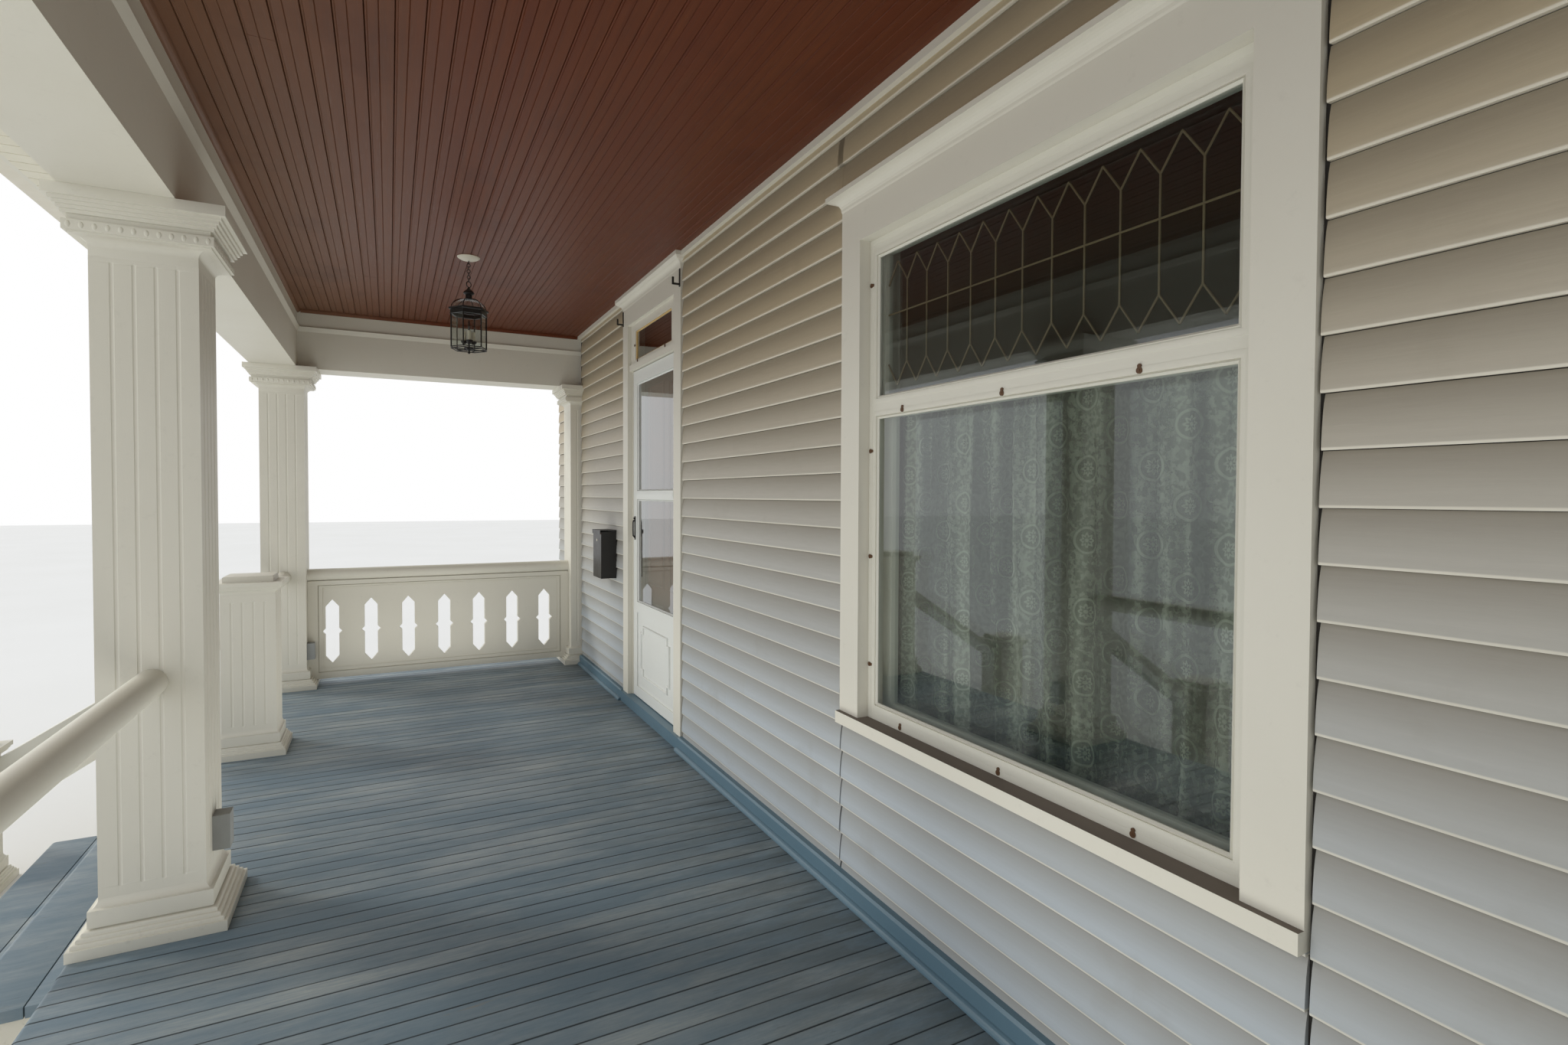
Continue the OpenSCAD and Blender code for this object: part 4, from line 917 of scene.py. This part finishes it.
def column_posts():
    """The three shafts, with flutes that stop short of base and capital."""
    low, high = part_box("column_shafts")
    bm = bmesh.new()
    for x in COLUMNS:
        fluted_post(bm, (x, 0.0), COLUMN / 2, low.z, high.z, low.z + FLUTE_FOOT, CAPITAL_FOOT - FLUTE_TOP)
    piece("fluted_posts", bm, CREAM, replaces=["column_shafts"], angle=40)


def base_profile(foot, h, out):
    """Plinth, three rounded fillets, a groove, a plain block and a cove up to the shaft."""
    plinth, groove, block, cove = 0.22 * h, 0.46 * h, 0.49 * h, 0.83 * h
    tall, wide = (groove - plinth) / 3, 0.16 * out
    profile = [(out, 0.0), (out, plinth)]
    for i in range(3):
        edge, low = 0.84 * out - wide * i, plinth + i * tall
        profile += [(edge, low)] + quarter((edge, low + tall / 2), (edge - wide / 2, low + tall), True, 4)
    profile += [(0.22 * out, groove), (0.22 * out, block), (0.34 * out, block)]
    profile += quarter((0.34 * out, cove), (0.0, h), False)
    return [(x, foot + z) for x, z in profile]


def column_feet():
    """The three columns' bases."""
    low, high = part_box("column_bases")
    bm = bmesh.new()
    for x in COLUMNS:
        square_stack(bm, base_profile(low.z, high.z - low.z, BASE_REACH), (x, 0.0), COLUMN / 2)
    piece("base_mouldings", bm, CREAM, replaces=["column_bases"], soften=0.0012, steps=2,
          angle=38)


def pilasters():
    """The columns' forms again at the wall, each cut off at the wall's face."""
    low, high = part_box("column_bases")[1].z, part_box("column_shafts")[1].z
    parts = []
    for centre in ((-BAY, PILASTER_Y), (BAY, PILASTER_Y)):
        for outline in (base_profile(FLOOR, low - FLOOR, BASE_REACH), capital_profile()):
            parts.append(bmesh.new())
            square_stack(parts[-1], outline, centre, COLUMN / 2)
        parts.append(bmesh.new())
        fluted_post(parts[-1], centre, COLUMN / 2, low, high, low + FLUTE_FOOT, CAPITAL_FOOT - FLUTE_TOP)
    for part in parts:
        cut_off(part, (0, WALL_Y, 0), (0, 1, 0))
    piece("pilaster_mouldings", joined(parts), CREAM, replaces=["wall_pilasters"], angle=38)


def newels():
    """The pedestal and the two newels at the stair's foot: base, fluted shaft, cap and raised block."""
    low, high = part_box("stair_newels")
    half, reach = 0.125, 0.045
    near_x, far_x, stair_y = high.x - reach - half, low.x + reach + half, low.y + reach + half
    foot_h, cap_h, cap_out = 0.145, 0.100, 0.035
    pedestal_top, newel_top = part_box("newel_caps")[1].z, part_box("newel_caps")[0].z + cap_h
    cap = [(0.0, 0.0), (0.0, 0.008)] + quarter((0.0, 0.010), (0.45 * cap_out, 0.026), True)
    cap += [(x * cap_out, z * cap_h) for x, z in (
        (0.6, 0.26), (0.6, 0.36), (0.78, 0.36), (0.78, 0.46), (1.0, 0.46), (1.0, 0.68), (-0.28, 0.68),
        (-0.28, 0.95), (-0.4, 1.0))]
    tops, posts = bmesh.new(), bmesh.new()
    for centre, ground, top in (((far_x, 0.0), FLOOR, pedestal_top), ((far_x, stair_y), 0.0, newel_top),
                                ((near_x, stair_y), 0.0, newel_top)):
        foot, neck = ground + foot_h, top - cap_h
        square_stack(posts, base_profile(ground, foot_h, reach), centre, half)
        fluted_post(posts, centre, half, foot, neck, foot + 0.032, neck - FLUTE_TOP)
        square_stack(tops, [(a, neck + b) for a, b in cap], centre, half)
    piece("newel_posts", posts, CREAM, replaces=["stair_newels"], angle=38)
    piece("newel_tops", tops, CREAM, replaces=["newel_caps"], soften=0.0015, steps=2)


def end_boards():
    """Cut-out boards across both ends, each in a frame with two steps on either side."""
    low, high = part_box("end_panels")
    board, seat = 0.013, 0.0128
    count, pitch, shift = 7, 0.259, 0.022
    cut_low, cut_high = FLOOR + 0.150, FLOOR + 0.640
    half, ear, ear_tall, tip = 0.0455, 0.066, 0.022, 0.056
    middle_y, middle_z = (low.y + high.y) / 2 - shift, (cut_low + cut_high) / 2
    rebate, rise, drop = 0.066, 0.048, 0.034
    bm = bmesh.new()

    def edge_strip(a, b, x):
        """A strip through the board's thickness between two points of its outline."""
        corners = ((a, -board), (b, -board), (b, board), (a, board))
        bm.faces.new([bm.verts.new((x + t, *point)) for point, t in corners])

    def border(x, near, far, outer, inner):
        """A flat rectangular frame from near to far of the board's middle plane."""
        edges = [[(a, c), (b, c), (b, d), (a, d)] for a, b, c, d in (outer, inner)]
        front, back = [[[bm.verts.new((x + t, *point)) for point in edge] for edge in edges]
                       for t in (near, far)]
        for i in range(4):
            k = (i + 1) % 4
            for low, high in (front, back, (front[0], back[0]), (front[1], back[1])):
                bm.faces.new((low[i], low[k], high[k], high[i]))

    for x in (-BAY, BAY):
        stops = [low.y] + [middle_y + (i - count / 2) * pitch for i in range(1, count)] + [high.y]
        for i in range(count):
            centre = middle_y + (i - count // 2) * pitch
            for way, outer in ((-1, stops[i]), (1, stops[i + 1])):
                side = centre + way * half
                cut = [(centre, cut_low), (side, cut_low + tip), (side, middle_z - ear_tall),
                       (centre + way * ear, middle_z), (side, middle_z + ear_tall), (side, cut_high - tip),
                       (centre, cut_high)]
                shape = [(outer, low.z), (centre, low.z)] + cut + [(centre, high.z), (outer, high.z)]
                for t in (-board, board):
                    bm.faces.new([bm.verts.new((x + t, *point)) for point in shape])
                for a, b in [*zip(cut, cut[1:]), (shape[0], shape[1]), (shape[-1], shape[-2])]:
                    edge_strip(a, b, x)
        for thick, past, outer in (
                (0.028, 0.0, (low.y, high.y, low.z, high.z)),
                (0.020, 0.030, (low.y + 0.070, high.y - 0.070, low.z + 0.052, high.z - 0.038))):
            inner = (low.y + rebate + past, high.y - rebate - past, low.z + rise + past,
                     high.z - drop - past * 0.6)
            for way in (-1, 1):
                border(x, way * seat, way * thick, outer, inner)
    piece("end_boards", bm, CREAM, replaces=["end_panels"], soften=0.0014)


# Door details

def frame_ring(bm, left, right, low, high, y, wide, proud):
    """A mitred moulding round the inside of a rectangle in the wall's plane."""
    outline = [(0.0, 0.0), (0.0, proud * 0.55), (wide * 0.45, proud), (wide, proud * 0.35), (wide, 0.0)]
    corners = [(left, low, 1, 1), (right, low, -1, 1), (right, high, -1, -1), (left, high, 1, -1)]
    bridge(bm, [[bm.verts.new((x + sx * a, y - b, z + sz * a)) for a, b in outline]
                for x, z, sx, sz in corners], around=True)


def leaf_beads():
    """Glazing beads of the storm door, and the ridge along its middle bar."""
    face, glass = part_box("storm_door")[0].y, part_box("storm_glass")
    bar_low, bar_high = FLOOR + 1.416, FLOOR + 1.472
    bm = bmesh.new()
    for low, high in ((glass[0].z, bar_low), (bar_high, glass[1].z)):
        frame_ring(bm, glass[0].x, glass[1].x, low, high, glass[0].y, 0.010, 0.009)
    ridge = [(face, bar_low + 0.004), (face - 0.0035, bar_low + 0.030), (face - 0.0035, bar_low + 0.034),
             (face, bar_high - 0.004)]
    run(bm, ridge, lambda p, end: ((glass[0].x, glass[1].x)[end], *p))
    piece("leaf_glazing_beads", bm, WHITE, "storm_door")


def kick_moulding():
    """A half-round moulding on the kick panel, notched at its corners."""
    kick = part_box("kick_panel")
    inset, notch, r = 0.085, 0.045, 0.0075
    left, right = kick[0].x + inset, kick[1].x - inset
    low, high = kick[0].z + inset, kick[1].z - inset
    inner_left, inner_right, inner_low, inner_high = left + notch, right - notch, low + notch, high - notch
    path = [((left + right) / 2, low), (inner_right, low), (inner_right, inner_low), (right, inner_low),
            (right, inner_high), (inner_right, inner_high), (inner_right, high), (inner_left, high),
            (inner_left, inner_high), (left, inner_high), (left, inner_low), (inner_left, inner_low),
            (inner_left, low)]
    bm = bmesh.new()
    bent_rod(bm, [(x, kick[0].y, z) for x, z in path + path[:1]], r)
    piece("kick_panel_moulding", bm, WHITE, "storm_door")


def door_pull():
    """A bowed pull with a thumb button on a narrow plate, held by two screws."""
    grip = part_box("door_handle")
    x, face = (grip[0].x + grip[1].x) / 2, grip[1].y
    half = 0.013
    top, foot = grip[1].z - 0.030, grip[0].z + 0.015
    bow = ((0.002, top), (0.012, top), (0.015, top - 0.012), (0.0155, (top + foot) / 2),
           (0.014, foot + 0.012), (0.003, foot))
    bm = bmesh.new()
    slab(bm, (x - half, face - 0.004, grip[0].z), (x + half, face, grip[1].z))
    bent_rod(bm, [(x, face - out, z) for out, z in bow], 0.005)
    rod(bm, (x, face - 0.012, top + 0.016), (x, face - 0.002, top + 0.016), 0.007, 20)
    piece("door_pull", bm, BLACK, "storm_door", replaces=["door_handle"], soften=0.0008)
    bm = bmesh.new()
    for z in (grip[0].z + 0.006, grip[1].z - 0.006):
        rod(bm, (x, face - 0.0052, z), (x, face - 0.003, z), 0.0035, 16)
    piece("pull_screws", bm, ENAMEL, "storm_door", soften=0.0006)


# Window details

STORM_LOW, STORM_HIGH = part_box("storm_window")
PANE_LEFT, PANE_RIGHT = STORM_LOW.x + 0.042, STORM_HIGH.x - 0.042
PANE_LOW, PANE_HIGH = STORM_LOW.z + 0.050, STORM_HIGH.z - 0.056
BAR_LOW, BAR_HIGH = FLOOR + 1.721, FLOOR + 1.781
TRANSOM_LEFT, TRANSOM_RIGHT = -1.8115, -1.0605
TRANSOM_LOW, TRANSOM_HIGH = FLOOR + 2.354, FLOOR + 2.550
TRANSOM_Y = 2.153


def storm_beads():
    """Glazing beads of the storm window, and low steps round its frame and both its panes."""
    face = STORM_LOW.y
    glass_y = face + 0.0095
    step = 0.003
    side, under, lap = 0.019, 0.012, 0.004
    bm = bmesh.new()
    for low, high in ((PANE_LOW, BAR_LOW), (BAR_HIGH, PANE_HIGH)):
        frame_ring(bm, PANE_LEFT, PANE_RIGHT, low, high, glass_y, 0.010, 0.009)
    frame_ring(bm, STORM_LOW.x + step, STORM_HIGH.x - step, STORM_LOW.z + step, STORM_HIGH.z - step, face,
               0.017, 0.0022)
    for low, high in ((PANE_LOW, BAR_LOW), (BAR_HIGH, PANE_HIGH)):
        frame_ring(bm, PANE_LEFT - side, PANE_RIGHT + side, low - lap - under, high + lap + under, face,
                   0.014, 0.0016)
    piece("storm_glazing_beads", bm, FRAME)


def turn_button(bm, x, y, z, upright):
    """A small rounded clip with a screw, which holds a storm frame in its rebate."""
    rod(bm, (x, y - 0.004, z), (x, y, z), 0.0078, 20)
    tip = Vector((0, 0, 0.010)) if upright else Vector((0.010, 0, 0))
    rod(bm, Vector((x, y - 0.0035, z)) + tip, Vector((x, y, z)) + tip, 0.0052, 16)
    rod(bm, (x, y - 0.0055, z), (x, y - 0.003, z), 0.0034, 12)


def turn_buttons():
    """Clips down both sides and along the rails of the storm window, and round the transom."""
    face, inset = STORM_LOW.y, 0.012
    bm = bmesh.new()
    for z in (PANE_LOW + 0.14, PANE_LOW + 0.52, BAR_LOW - 0.12, PANE_HIGH - 0.10):
        turn_button(bm, STORM_LOW.x + inset, face, z, False)
    for z in (PANE_LOW + 0.10, PANE_LOW + 0.46, BAR_LOW - 0.16, BAR_HIGH + 0.30):
        turn_button(bm, STORM_HIGH.x - inset, face, z, False)
    for share in (0.12, 0.48, 0.82):
        x = PANE_LEFT + share * (PANE_RIGHT - PANE_LEFT)
        turn_button(bm, x, face, STORM_LOW.z + inset, True)
        turn_button(bm, x, face, BAR_LOW + 0.008, True)
    for x in (TRANSOM_LEFT + 0.05, TRANSOM_RIGHT - 0.12):
        turn_button(bm, x, TRANSOM_Y, TRANSOM_LOW - 0.010, True)
    turn_button(bm, TRANSOM_LEFT - inset, TRANSOM_Y, TRANSOM_LOW + 0.10, False)
    piece("turn_buttons", bm, BRONZE_AND_HIGHLIGHT)


def transom_putty():
    """Yellowed putty round the transom's pane."""
    bm = bmesh.new()
    frame_ring(bm, TRANSOM_LEFT, TRANSOM_RIGHT, TRANSOM_LOW, TRANSOM_HIGH, TRANSOM_Y + 0.0125, 0.009, 0.008)
    piece("transom_putty", bm, PUTTY)


def sash_glazing():
    """Panes a little behind the faces of both sashes, and leaded bars with pointed ends in the upper one."""
    low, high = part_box("window_sashes")
    member, overlap, thick = 0.050, 0.020, 0.003
    meet = FLOOR + 1.751
    left, right = low.x + member, high.x - member
    foot, top = meet - overlap + member, high.z - member
    upper_y, lower_y = low.y + 0.015, low.y + 0.047
    bm = bmesh.new()
    slab(bm, (left, upper_y, foot), (right, upper_y + thick, top))
    slab(bm, (left, lower_y, low.z + member), (right, lower_y + thick, meet + overlap - member))
    piece("sash_panes", bm, CLEAR)
    bm = bmesh.new()
    count, point = 12, 0.075
    pitch = (right - left) / count
    points_low, points_high, bar = foot + 0.045, top - 0.035, (foot + top) / 2 + 0.04

    def came(x0, z0, x1, z1):
        rod(bm, (x0, upper_y - 0.002, z0), (x1, upper_y - 0.002, z1), 0.0028, 6)

    for i in range(count):
        x = left + i * pitch
        middle = x + pitch / 2
        for z, valley in ((points_low, points_low + point), (points_high, points_high - point)):
            came(x, valley, middle, z)
            came(middle, z, x + pitch, valley)
        if i:
            came(x, points_low + point, x, points_high - point)
    came(left, bar, right, bar)
    piece("lead_cames", bm, CAME)


def curtain():
    """Gathered lace on its rod: even folds at the top that loosen towards the hem."""
    low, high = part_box("lace_curtain")
    across, down, measured = 240, 60, 30
    width, height = high.x - low.x, high.z - low.z
    middle, deep = (low.y + high.y) / 2, (high.y - low.y) / 2 - 0.001
    bm = bmesh.new()
    rows = []
    for j in range(down + 1):
        t = j / down
        row = []
        for i in range(across + 1):
            s = i / across
            wave = math.sin(2 * math.pi * (15 * s + 0.35 * math.sin(5 * s + 2 * t)))
            wave += 0.35 * math.sin(2 * math.pi * (31 * s + 0.8 * t))
            y = middle + deep * max(-1, min(1, wave * (0.55 + 0.3 * t)))
            row.append(bm.verts.new((low.x + s * width, y, high.z - t * height)))
        rows.append(row)
    web(bm, rows[::-1])
    made = piece("lace_curtain_sheet", bm, LACE, replaces=["lace_curtain"], angle=180)


# Lantern: its middle, the turn and reach of its six corners, and its levels below the ceiling

LANTERN = (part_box("lantern_frame")[0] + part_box("lantern_frame")[1]) / 2
TURN = 37
CORNERS = range(0, 360, 60)
CORNER = 0.100
BELL, NECK, DOME, BAND, BODY = 0.214, 0.240, 0.296, 0.332, 0.520
CUPS = [(LANTERN.x + 0.028 * math.cos(a), LANTERN.y + 0.028 * math.sin(a)) for a in angles(3)]


def around(radius, degrees, down):
    """A point off the lantern's middle, round from its first corner, and below the ceiling."""
    a = math.radians(TURN + degrees)
    return Vector((LANTERN.x + radius * math.cos(a), LANTERN.y + radius * math.sin(a), CEILING - down))


def hang(bm, outline, centre=(LANTERN.x, LANTERN.y), sides=48):
    """Adds a turned part: outline is (radius, depth below the ceiling) from the bottom up."""
    turned(bm, [(radius, CEILING - down) for radius, down in outline], centre, sides)


def lantern_chain(bm):
    """Links turned against each other by a quarter, and the ring on the bell."""
    links, start, end = 7, 0.020, 0.139
    step = (end - start) / links
    for i in range(links):
        spin = Matrix.Rotation(math.radians(90 * (i % 2)), 4, "Z")
        middle = Vector((LANTERN.x, LANTERN.y, CEILING - start - step * (i + 0.5)))
        bent_rod(bm, [middle + spin @ Vector((0.0085 * math.sin(a), 0, 0.62 * step * math.cos(a)))
                      for a in angles(16, 1)], 0.0020, 8)
    r, down = 0.0165, 0.1545
    bent_rod(bm, [around(r * math.sin(a), -90, down - r * math.cos(a)) for a in angles(24, 1)], 0.0024, 8)


def lantern_cage():
    """Chain, bell, ribbed dome, lipped band, corner bars, candle cups on their stem, and a finial."""
    bm = bmesh.new()
    lantern_chain(bm)
    hang(bm, [(0.018, NECK), (0.018, BELL + 0.002), (0.024, BELL - 0.002), (0.029, BELL - 0.006),
              (0.030, BELL - 0.010), (0.027, 0.197), (0.016, 0.187), (0.008, 0.179), (0.004, 0.170)])
    foot, crown, rise = CORNER - 0.006, 0.017, DOME - NECK + 0.001
    for corner in CORNERS:
        bent_rod(bm, [around(crown + (foot - crown) * math.cos(a), corner, DOME - rise * math.sin(a))
                      for a in angles(32)[:9]], 0.0024, 8)
    inner = CORNER - 0.010
    for outer, low, high in ((CORNER, BAND, DOME + 0.012), (CORNER + 0.008, DOME + 0.010, DOME)):
        section = ((outer, low), (outer, high), (inner, high), (inner, low))
        bridge(bm, [[bm.verts.new(around(radius, corner, down)) for radius, down in section]
                    for corner in CORNERS], around=True)
    for radius, down, thick in (
            (CORNER + 0.0065, DOME + 0.002, 0.0022), (CORNER + 0.001, BAND - 0.002, 0.0026),
            (CORNER - 0.004, BODY - 0.003, 0.0030), (CORNER - 0.004, BODY + 0.006, 0.0028)):
        for corner in CORNERS:
            rod(bm, around(radius, corner, down), around(radius, corner + 60, down), thick, 8)
    for corner in CORNERS:
        rod(bm, around(CORNER - 0.005, corner, BAND), around(CORNER - 0.005, corner, BODY), 0.0038, 10)
        rod(bm, around(0.0, 0, BODY + 0.005), around(CORNER - 0.006, corner, BODY + 0.005), 0.0026, 8)
    hang(bm, [(0.0, BODY + 0.0315), (0.006, BODY + 0.028), (0.007, BODY + 0.022), (0.004, BODY + 0.016),
              (0.010, BODY + 0.008), (0.026, BODY + 0.002), (0.026, BODY - 0.002)], sides=24)
    hang(bm, [(0.0045, BODY), (0.0045, BODY - 0.026), (0.014, BODY - 0.030), (0.018, BODY - 0.036),
              (0.006, BODY - 0.044), (0.0035, BODY - 0.160)], sides=24)
    for cup in CUPS:
        hang(bm, [(0.005, BODY - 0.026), (0.012, BODY - 0.030), (0.0175, BODY - 0.038),
                  (0.0185, BODY - 0.044), (0.0105, BODY - 0.043)], cup, 24)
    piece("lantern_cage", bm, BLACK, replaces=["lantern_frame"], angle=50)


def lantern_panes():
    """Six flat panes between the corner bars, and a thin clear dome."""
    bm = bmesh.new()
    thick, inset, foot, top = 0.003, 0.0085, BODY - 0.002, BAND - 0.004
    section = [(0.0, top), (thick, top), (thick, foot), (0.0, foot)]
    for corner in CORNERS:
        ends = [around(CORNER - inset, corner + degrees, 0.0) for degrees in (2, 58)]
        inward = (around(0.0, 0, 0.0) - (ends[0] + ends[1]) / 2).normalized()
        run(bm, section, lambda p, end: ends[end] + inward * p[0] - Vector((0, 0, p[1])))
    dome = [(0.0860, DOME - 0.0010), (0.0845, 0.2860), (0.0770, 0.2680), (0.0620, 0.2530), (0.0420, 0.2440),
            (0.0190, 0.2404)]
    dome += [(radius - 0.0015, down + 0.0012) for radius, down in dome[::-1]]
    bridge(bm, [level_ring(bm, radius, CEILING - down, LANTERN, 48) for radius, down in dome], around=True)
    piece("lantern_panes", bm, CLEAR, replaces=["lantern_glass"])


def lantern():
    """Cream canopy, black cage, clear panes, and ivory candle sleeves with flame-shaped bulbs."""
    bm = bmesh.new()
    hang(bm, [(0.006, 0.0215), (0.020, 0.0195), (0.042, 0.0140), (0.056, 0.0070), (0.061, 0.0020),
              (0.061, 0.0)])
    piece("lantern_canopy", bm, ENAMEL, angle=40)
    lantern_cage()
    lantern_panes()
    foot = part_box("lantern_lamps")[0].z + 0.062
    tip = foot + 0.056
    sleeves, bulbs = bmesh.new(), bmesh.new()
    for cup in CUPS:
        turned(sleeves, [(0.0098, foot), (0.0098, tip - 0.002), (0.0088, tip)], cup, 24)
        turned(bulbs, [(0.0065, tip), (0.0085, tip + 0.006), (0.0115, tip + 0.018), (0.0105, tip + 0.030),
                       (0.0050, tip + 0.046), (0.0, tip + 0.056)], cup, 20)
    piece("candle_sleeves", sleeves, SLEEVE, replaces=["lantern_lamps"])
    piece("candle_bulbs", bulbs, CLEAR)


# Fittings

def mailbox_details():
    """A rolled front edge on the lid, bronze as a painted highlight on the black lid, and a lock on the box.
    """
    lid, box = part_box("mailbox_lid"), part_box("mailbox")
    r = 0.004
    bm = bmesh.new()
    rod(bm, (lid[0].x, lid[0].y + r, lid[0].z + r), (lid[1].x, lid[0].y + r, lid[0].z + r), r, 12)
    # Painted highlight: the bronze lip stands in for the light caught along the lid's front edge.
    piece("mailbox_lip_roll", bm, BRONZE_AND_HIGHLIGHT, "mailbox_lid")
    bm = bmesh.new()
    x, face, z = (box[0].x + box[1].x) / 2, box[0].y, box[1].z - 0.075
    rod(bm, (x, face - 0.004, z), (x, face + 0.002, z), 0.009, 24)
    piece("mailbox_lock", bm, ENAMEL, soften=0.001)


def outlet_covers():
    """Two flip covers on each outlet box."""
    low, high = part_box("outlet_boxes")
    half, tall = 0.030, 0.044
    bm = bmesh.new()
    for x in (low.x + 0.035, 0.0):
        for z in (low.z + 0.012, (low.z + high.z) / 2 + 0.004):
            slab(bm, (x - half, high.y - 0.003, z), (x + half, high.y - 0.0002, z + tall))
    piece("outlet_covers", bm, OUTLET, soften=0.001)


def entry_door_panels():
    """Mouldings round the four panels of the house door."""
    low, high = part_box("entry_door")
    middle, member = (low.x + high.x) / 2, 0.110
    rail, head = FLOOR + 0.72, FLOOR + 2.29
    bm = bmesh.new()
    for left, right in ((low.x + member, middle - member / 2), (middle + member / 2, high.x - member)):
        for foot, top in ((low.z + 2 * member, rail), (rail + member, head - member)):
            frame_ring(bm, left, right, foot, top, low.y, 0.022, 0.012)
    piece("entry_door_mouldings", bm, STAIN)


siding_in_porch()
siding_beside_porch()
siding_over_roof()
deck_boards()
stair_boards()
skirt_boards()
beadboard()
soffit_panels()
roof_shingles()
capitals()
column_posts()
column_feet()
pilasters()
newels()
end_boards()
leaf_beads()
kick_moulding()
door_pull()
storm_beads()
turn_buttons()
transom_putty()
sash_glazing()
curtain()
lantern()
mailbox_details()
outlet_covers()
entry_door_panels()


# Stage, light and camera

def stage():
    """A wide pale floor, a millimetre under the porch."""
    paint = Paint("stage")
    colour = paint.mix(paint.noise(0.4, 2), srgb(228, 227, 224), srgb(234, 233, 231))
    reach, height = 60.0, -0.001
    corners = [(sx * reach, sy * reach, height) for sx, sy in ((-1, -1), (1, -1), (1, 1), (-1, 1))]
    mesh = bpy.data.meshes.new("ground")
    mesh.from_pydata(corners, [], [(0, 1, 2, 3)])
    mesh.materials.append(paint.finish(colour, 0.9))
    ground = bpy.data.objects.new("ground", mesh)
    bpy.context.scene.collection.objects.link(ground)


def sky():
    """Even light from all round, which the camera, mirrors and glass see as plain white."""
    world = bpy.data.worlds.new("studio")
    world.use_nodes = True
    bpy.context.scene.world = world
    graph = Graph(world.node_tree)
    light = graph.tree.nodes["Background"]
    graph.feed(light.inputs["Color"], (0.93, 0.96, 1.0, 1))
    graph.feed(light.inputs["Strength"], 0.85)
    white = graph.node("ShaderNodeBackground", {}, (1.0, 1.0, 1.0, 1), 1.0)
    seen, mirrored, through = (graph.node("ShaderNodeLightPath", {}, out=f"Is {ray} Ray")
                               for ray in ("Camera", "Glossy", "Transmission"))
    plain = graph.math("MAXIMUM", graph.math("MAXIMUM", seen, mirrored), through)
    both = graph.node("ShaderNodeMixShader", {}, plain, Shade(graph, light.outputs[0]), white)
    graph.feed(graph.tree.nodes["World Output"].inputs["Surface"], both)


def lamp(name, kind, power, colour, place, turn):
    """Adds a lamp and returns it, with its data, for the settings of its kind."""
    data = bpy.data.lights.new(name, kind)
    data.energy = power
    data.color = colour
    made = bpy.data.objects.new(name, data)
    made.location = place
    made.rotation_euler = turn
    bpy.context.scene.collection.objects.link(made)
    return made, data


def lights():
    """A warm sun, a broad fill from the street and a glow off the floor. Mirrors don't show the last two."""
    sky()
    facing_sun = Vector((-0.55, -0.75, 0.62)).to_track_quat("Z", "Y").to_euler()
    facing_street = Vector((1.5, -9.0, 1.0)).to_track_quat("Z", "Y").to_euler()
    sun = lamp("key", "SUN", 1.1, (1.0, 0.97, 0.90), (0, 0, 0), facing_sun)[1]
    sun.angle = math.radians(12)
    fill = lamp("fill", "AREA", 190, (0.97, 0.99, 1.0), (2.0, -9.0, 2.8), facing_street)
    bounce = lamp("bounce", "AREA", 36, (1.0, 0.98, 0.93), (0.0, 0.95, FLOOR + 0.02), (math.pi, 0, 0))
    for (made, data), size in ((fill, (12.0, 5.0)), (bounce, (6.6, 1.3))):
        data.shape = "RECTANGLE"
        data.size, data.size_y = size
        made.visible_camera = False
        made.visible_glossy = False


def camera():
    """The photograph's view, found from the siding courses, the door and the columns."""
    wide, tall, film = 2048, 1365, 36.0
    focal, centre = 1002.98, (1047.24, 670.01)
    stand = (3.3040, 0.6811, FLOOR + 1.4424)
    yaw, pitch, roll = (math.radians(a) for a in (28.2694, 1.2549, 0.2510))
    level = Vector((-math.cos(yaw), math.sin(yaw), 0))
    side = Vector((math.sin(yaw), math.cos(yaw), 0))
    above = Vector((0, 0, 1))
    forward = math.cos(pitch) * level - math.sin(pitch) * above
    right = math.cos(roll) * side + math.sin(roll) * (math.sin(pitch) * level + math.cos(pitch) * above)
    data = bpy.data.cameras.new("camera")
    data.sensor_width = film
    data.lens = focal / wide * film
    data.shift_x = (wide / 2 - centre[0]) / wide
    data.shift_y = (centre[1] - tall / 2) / wide
    data.clip_start = 0.02
    data.clip_end = 300
    eye = bpy.data.objects.new("camera", data)
    turn = Matrix((right, right.cross(forward), -forward)).transposed().to_4x4()
    eye.matrix_world = Matrix.Translation(stand) @ turn
    bpy.context.scene.collection.objects.link(eye)
    bpy.context.scene.camera = eye


stage()
lights()
camera()
bpy.context.scene.view_settings.view_transform = "Standard"
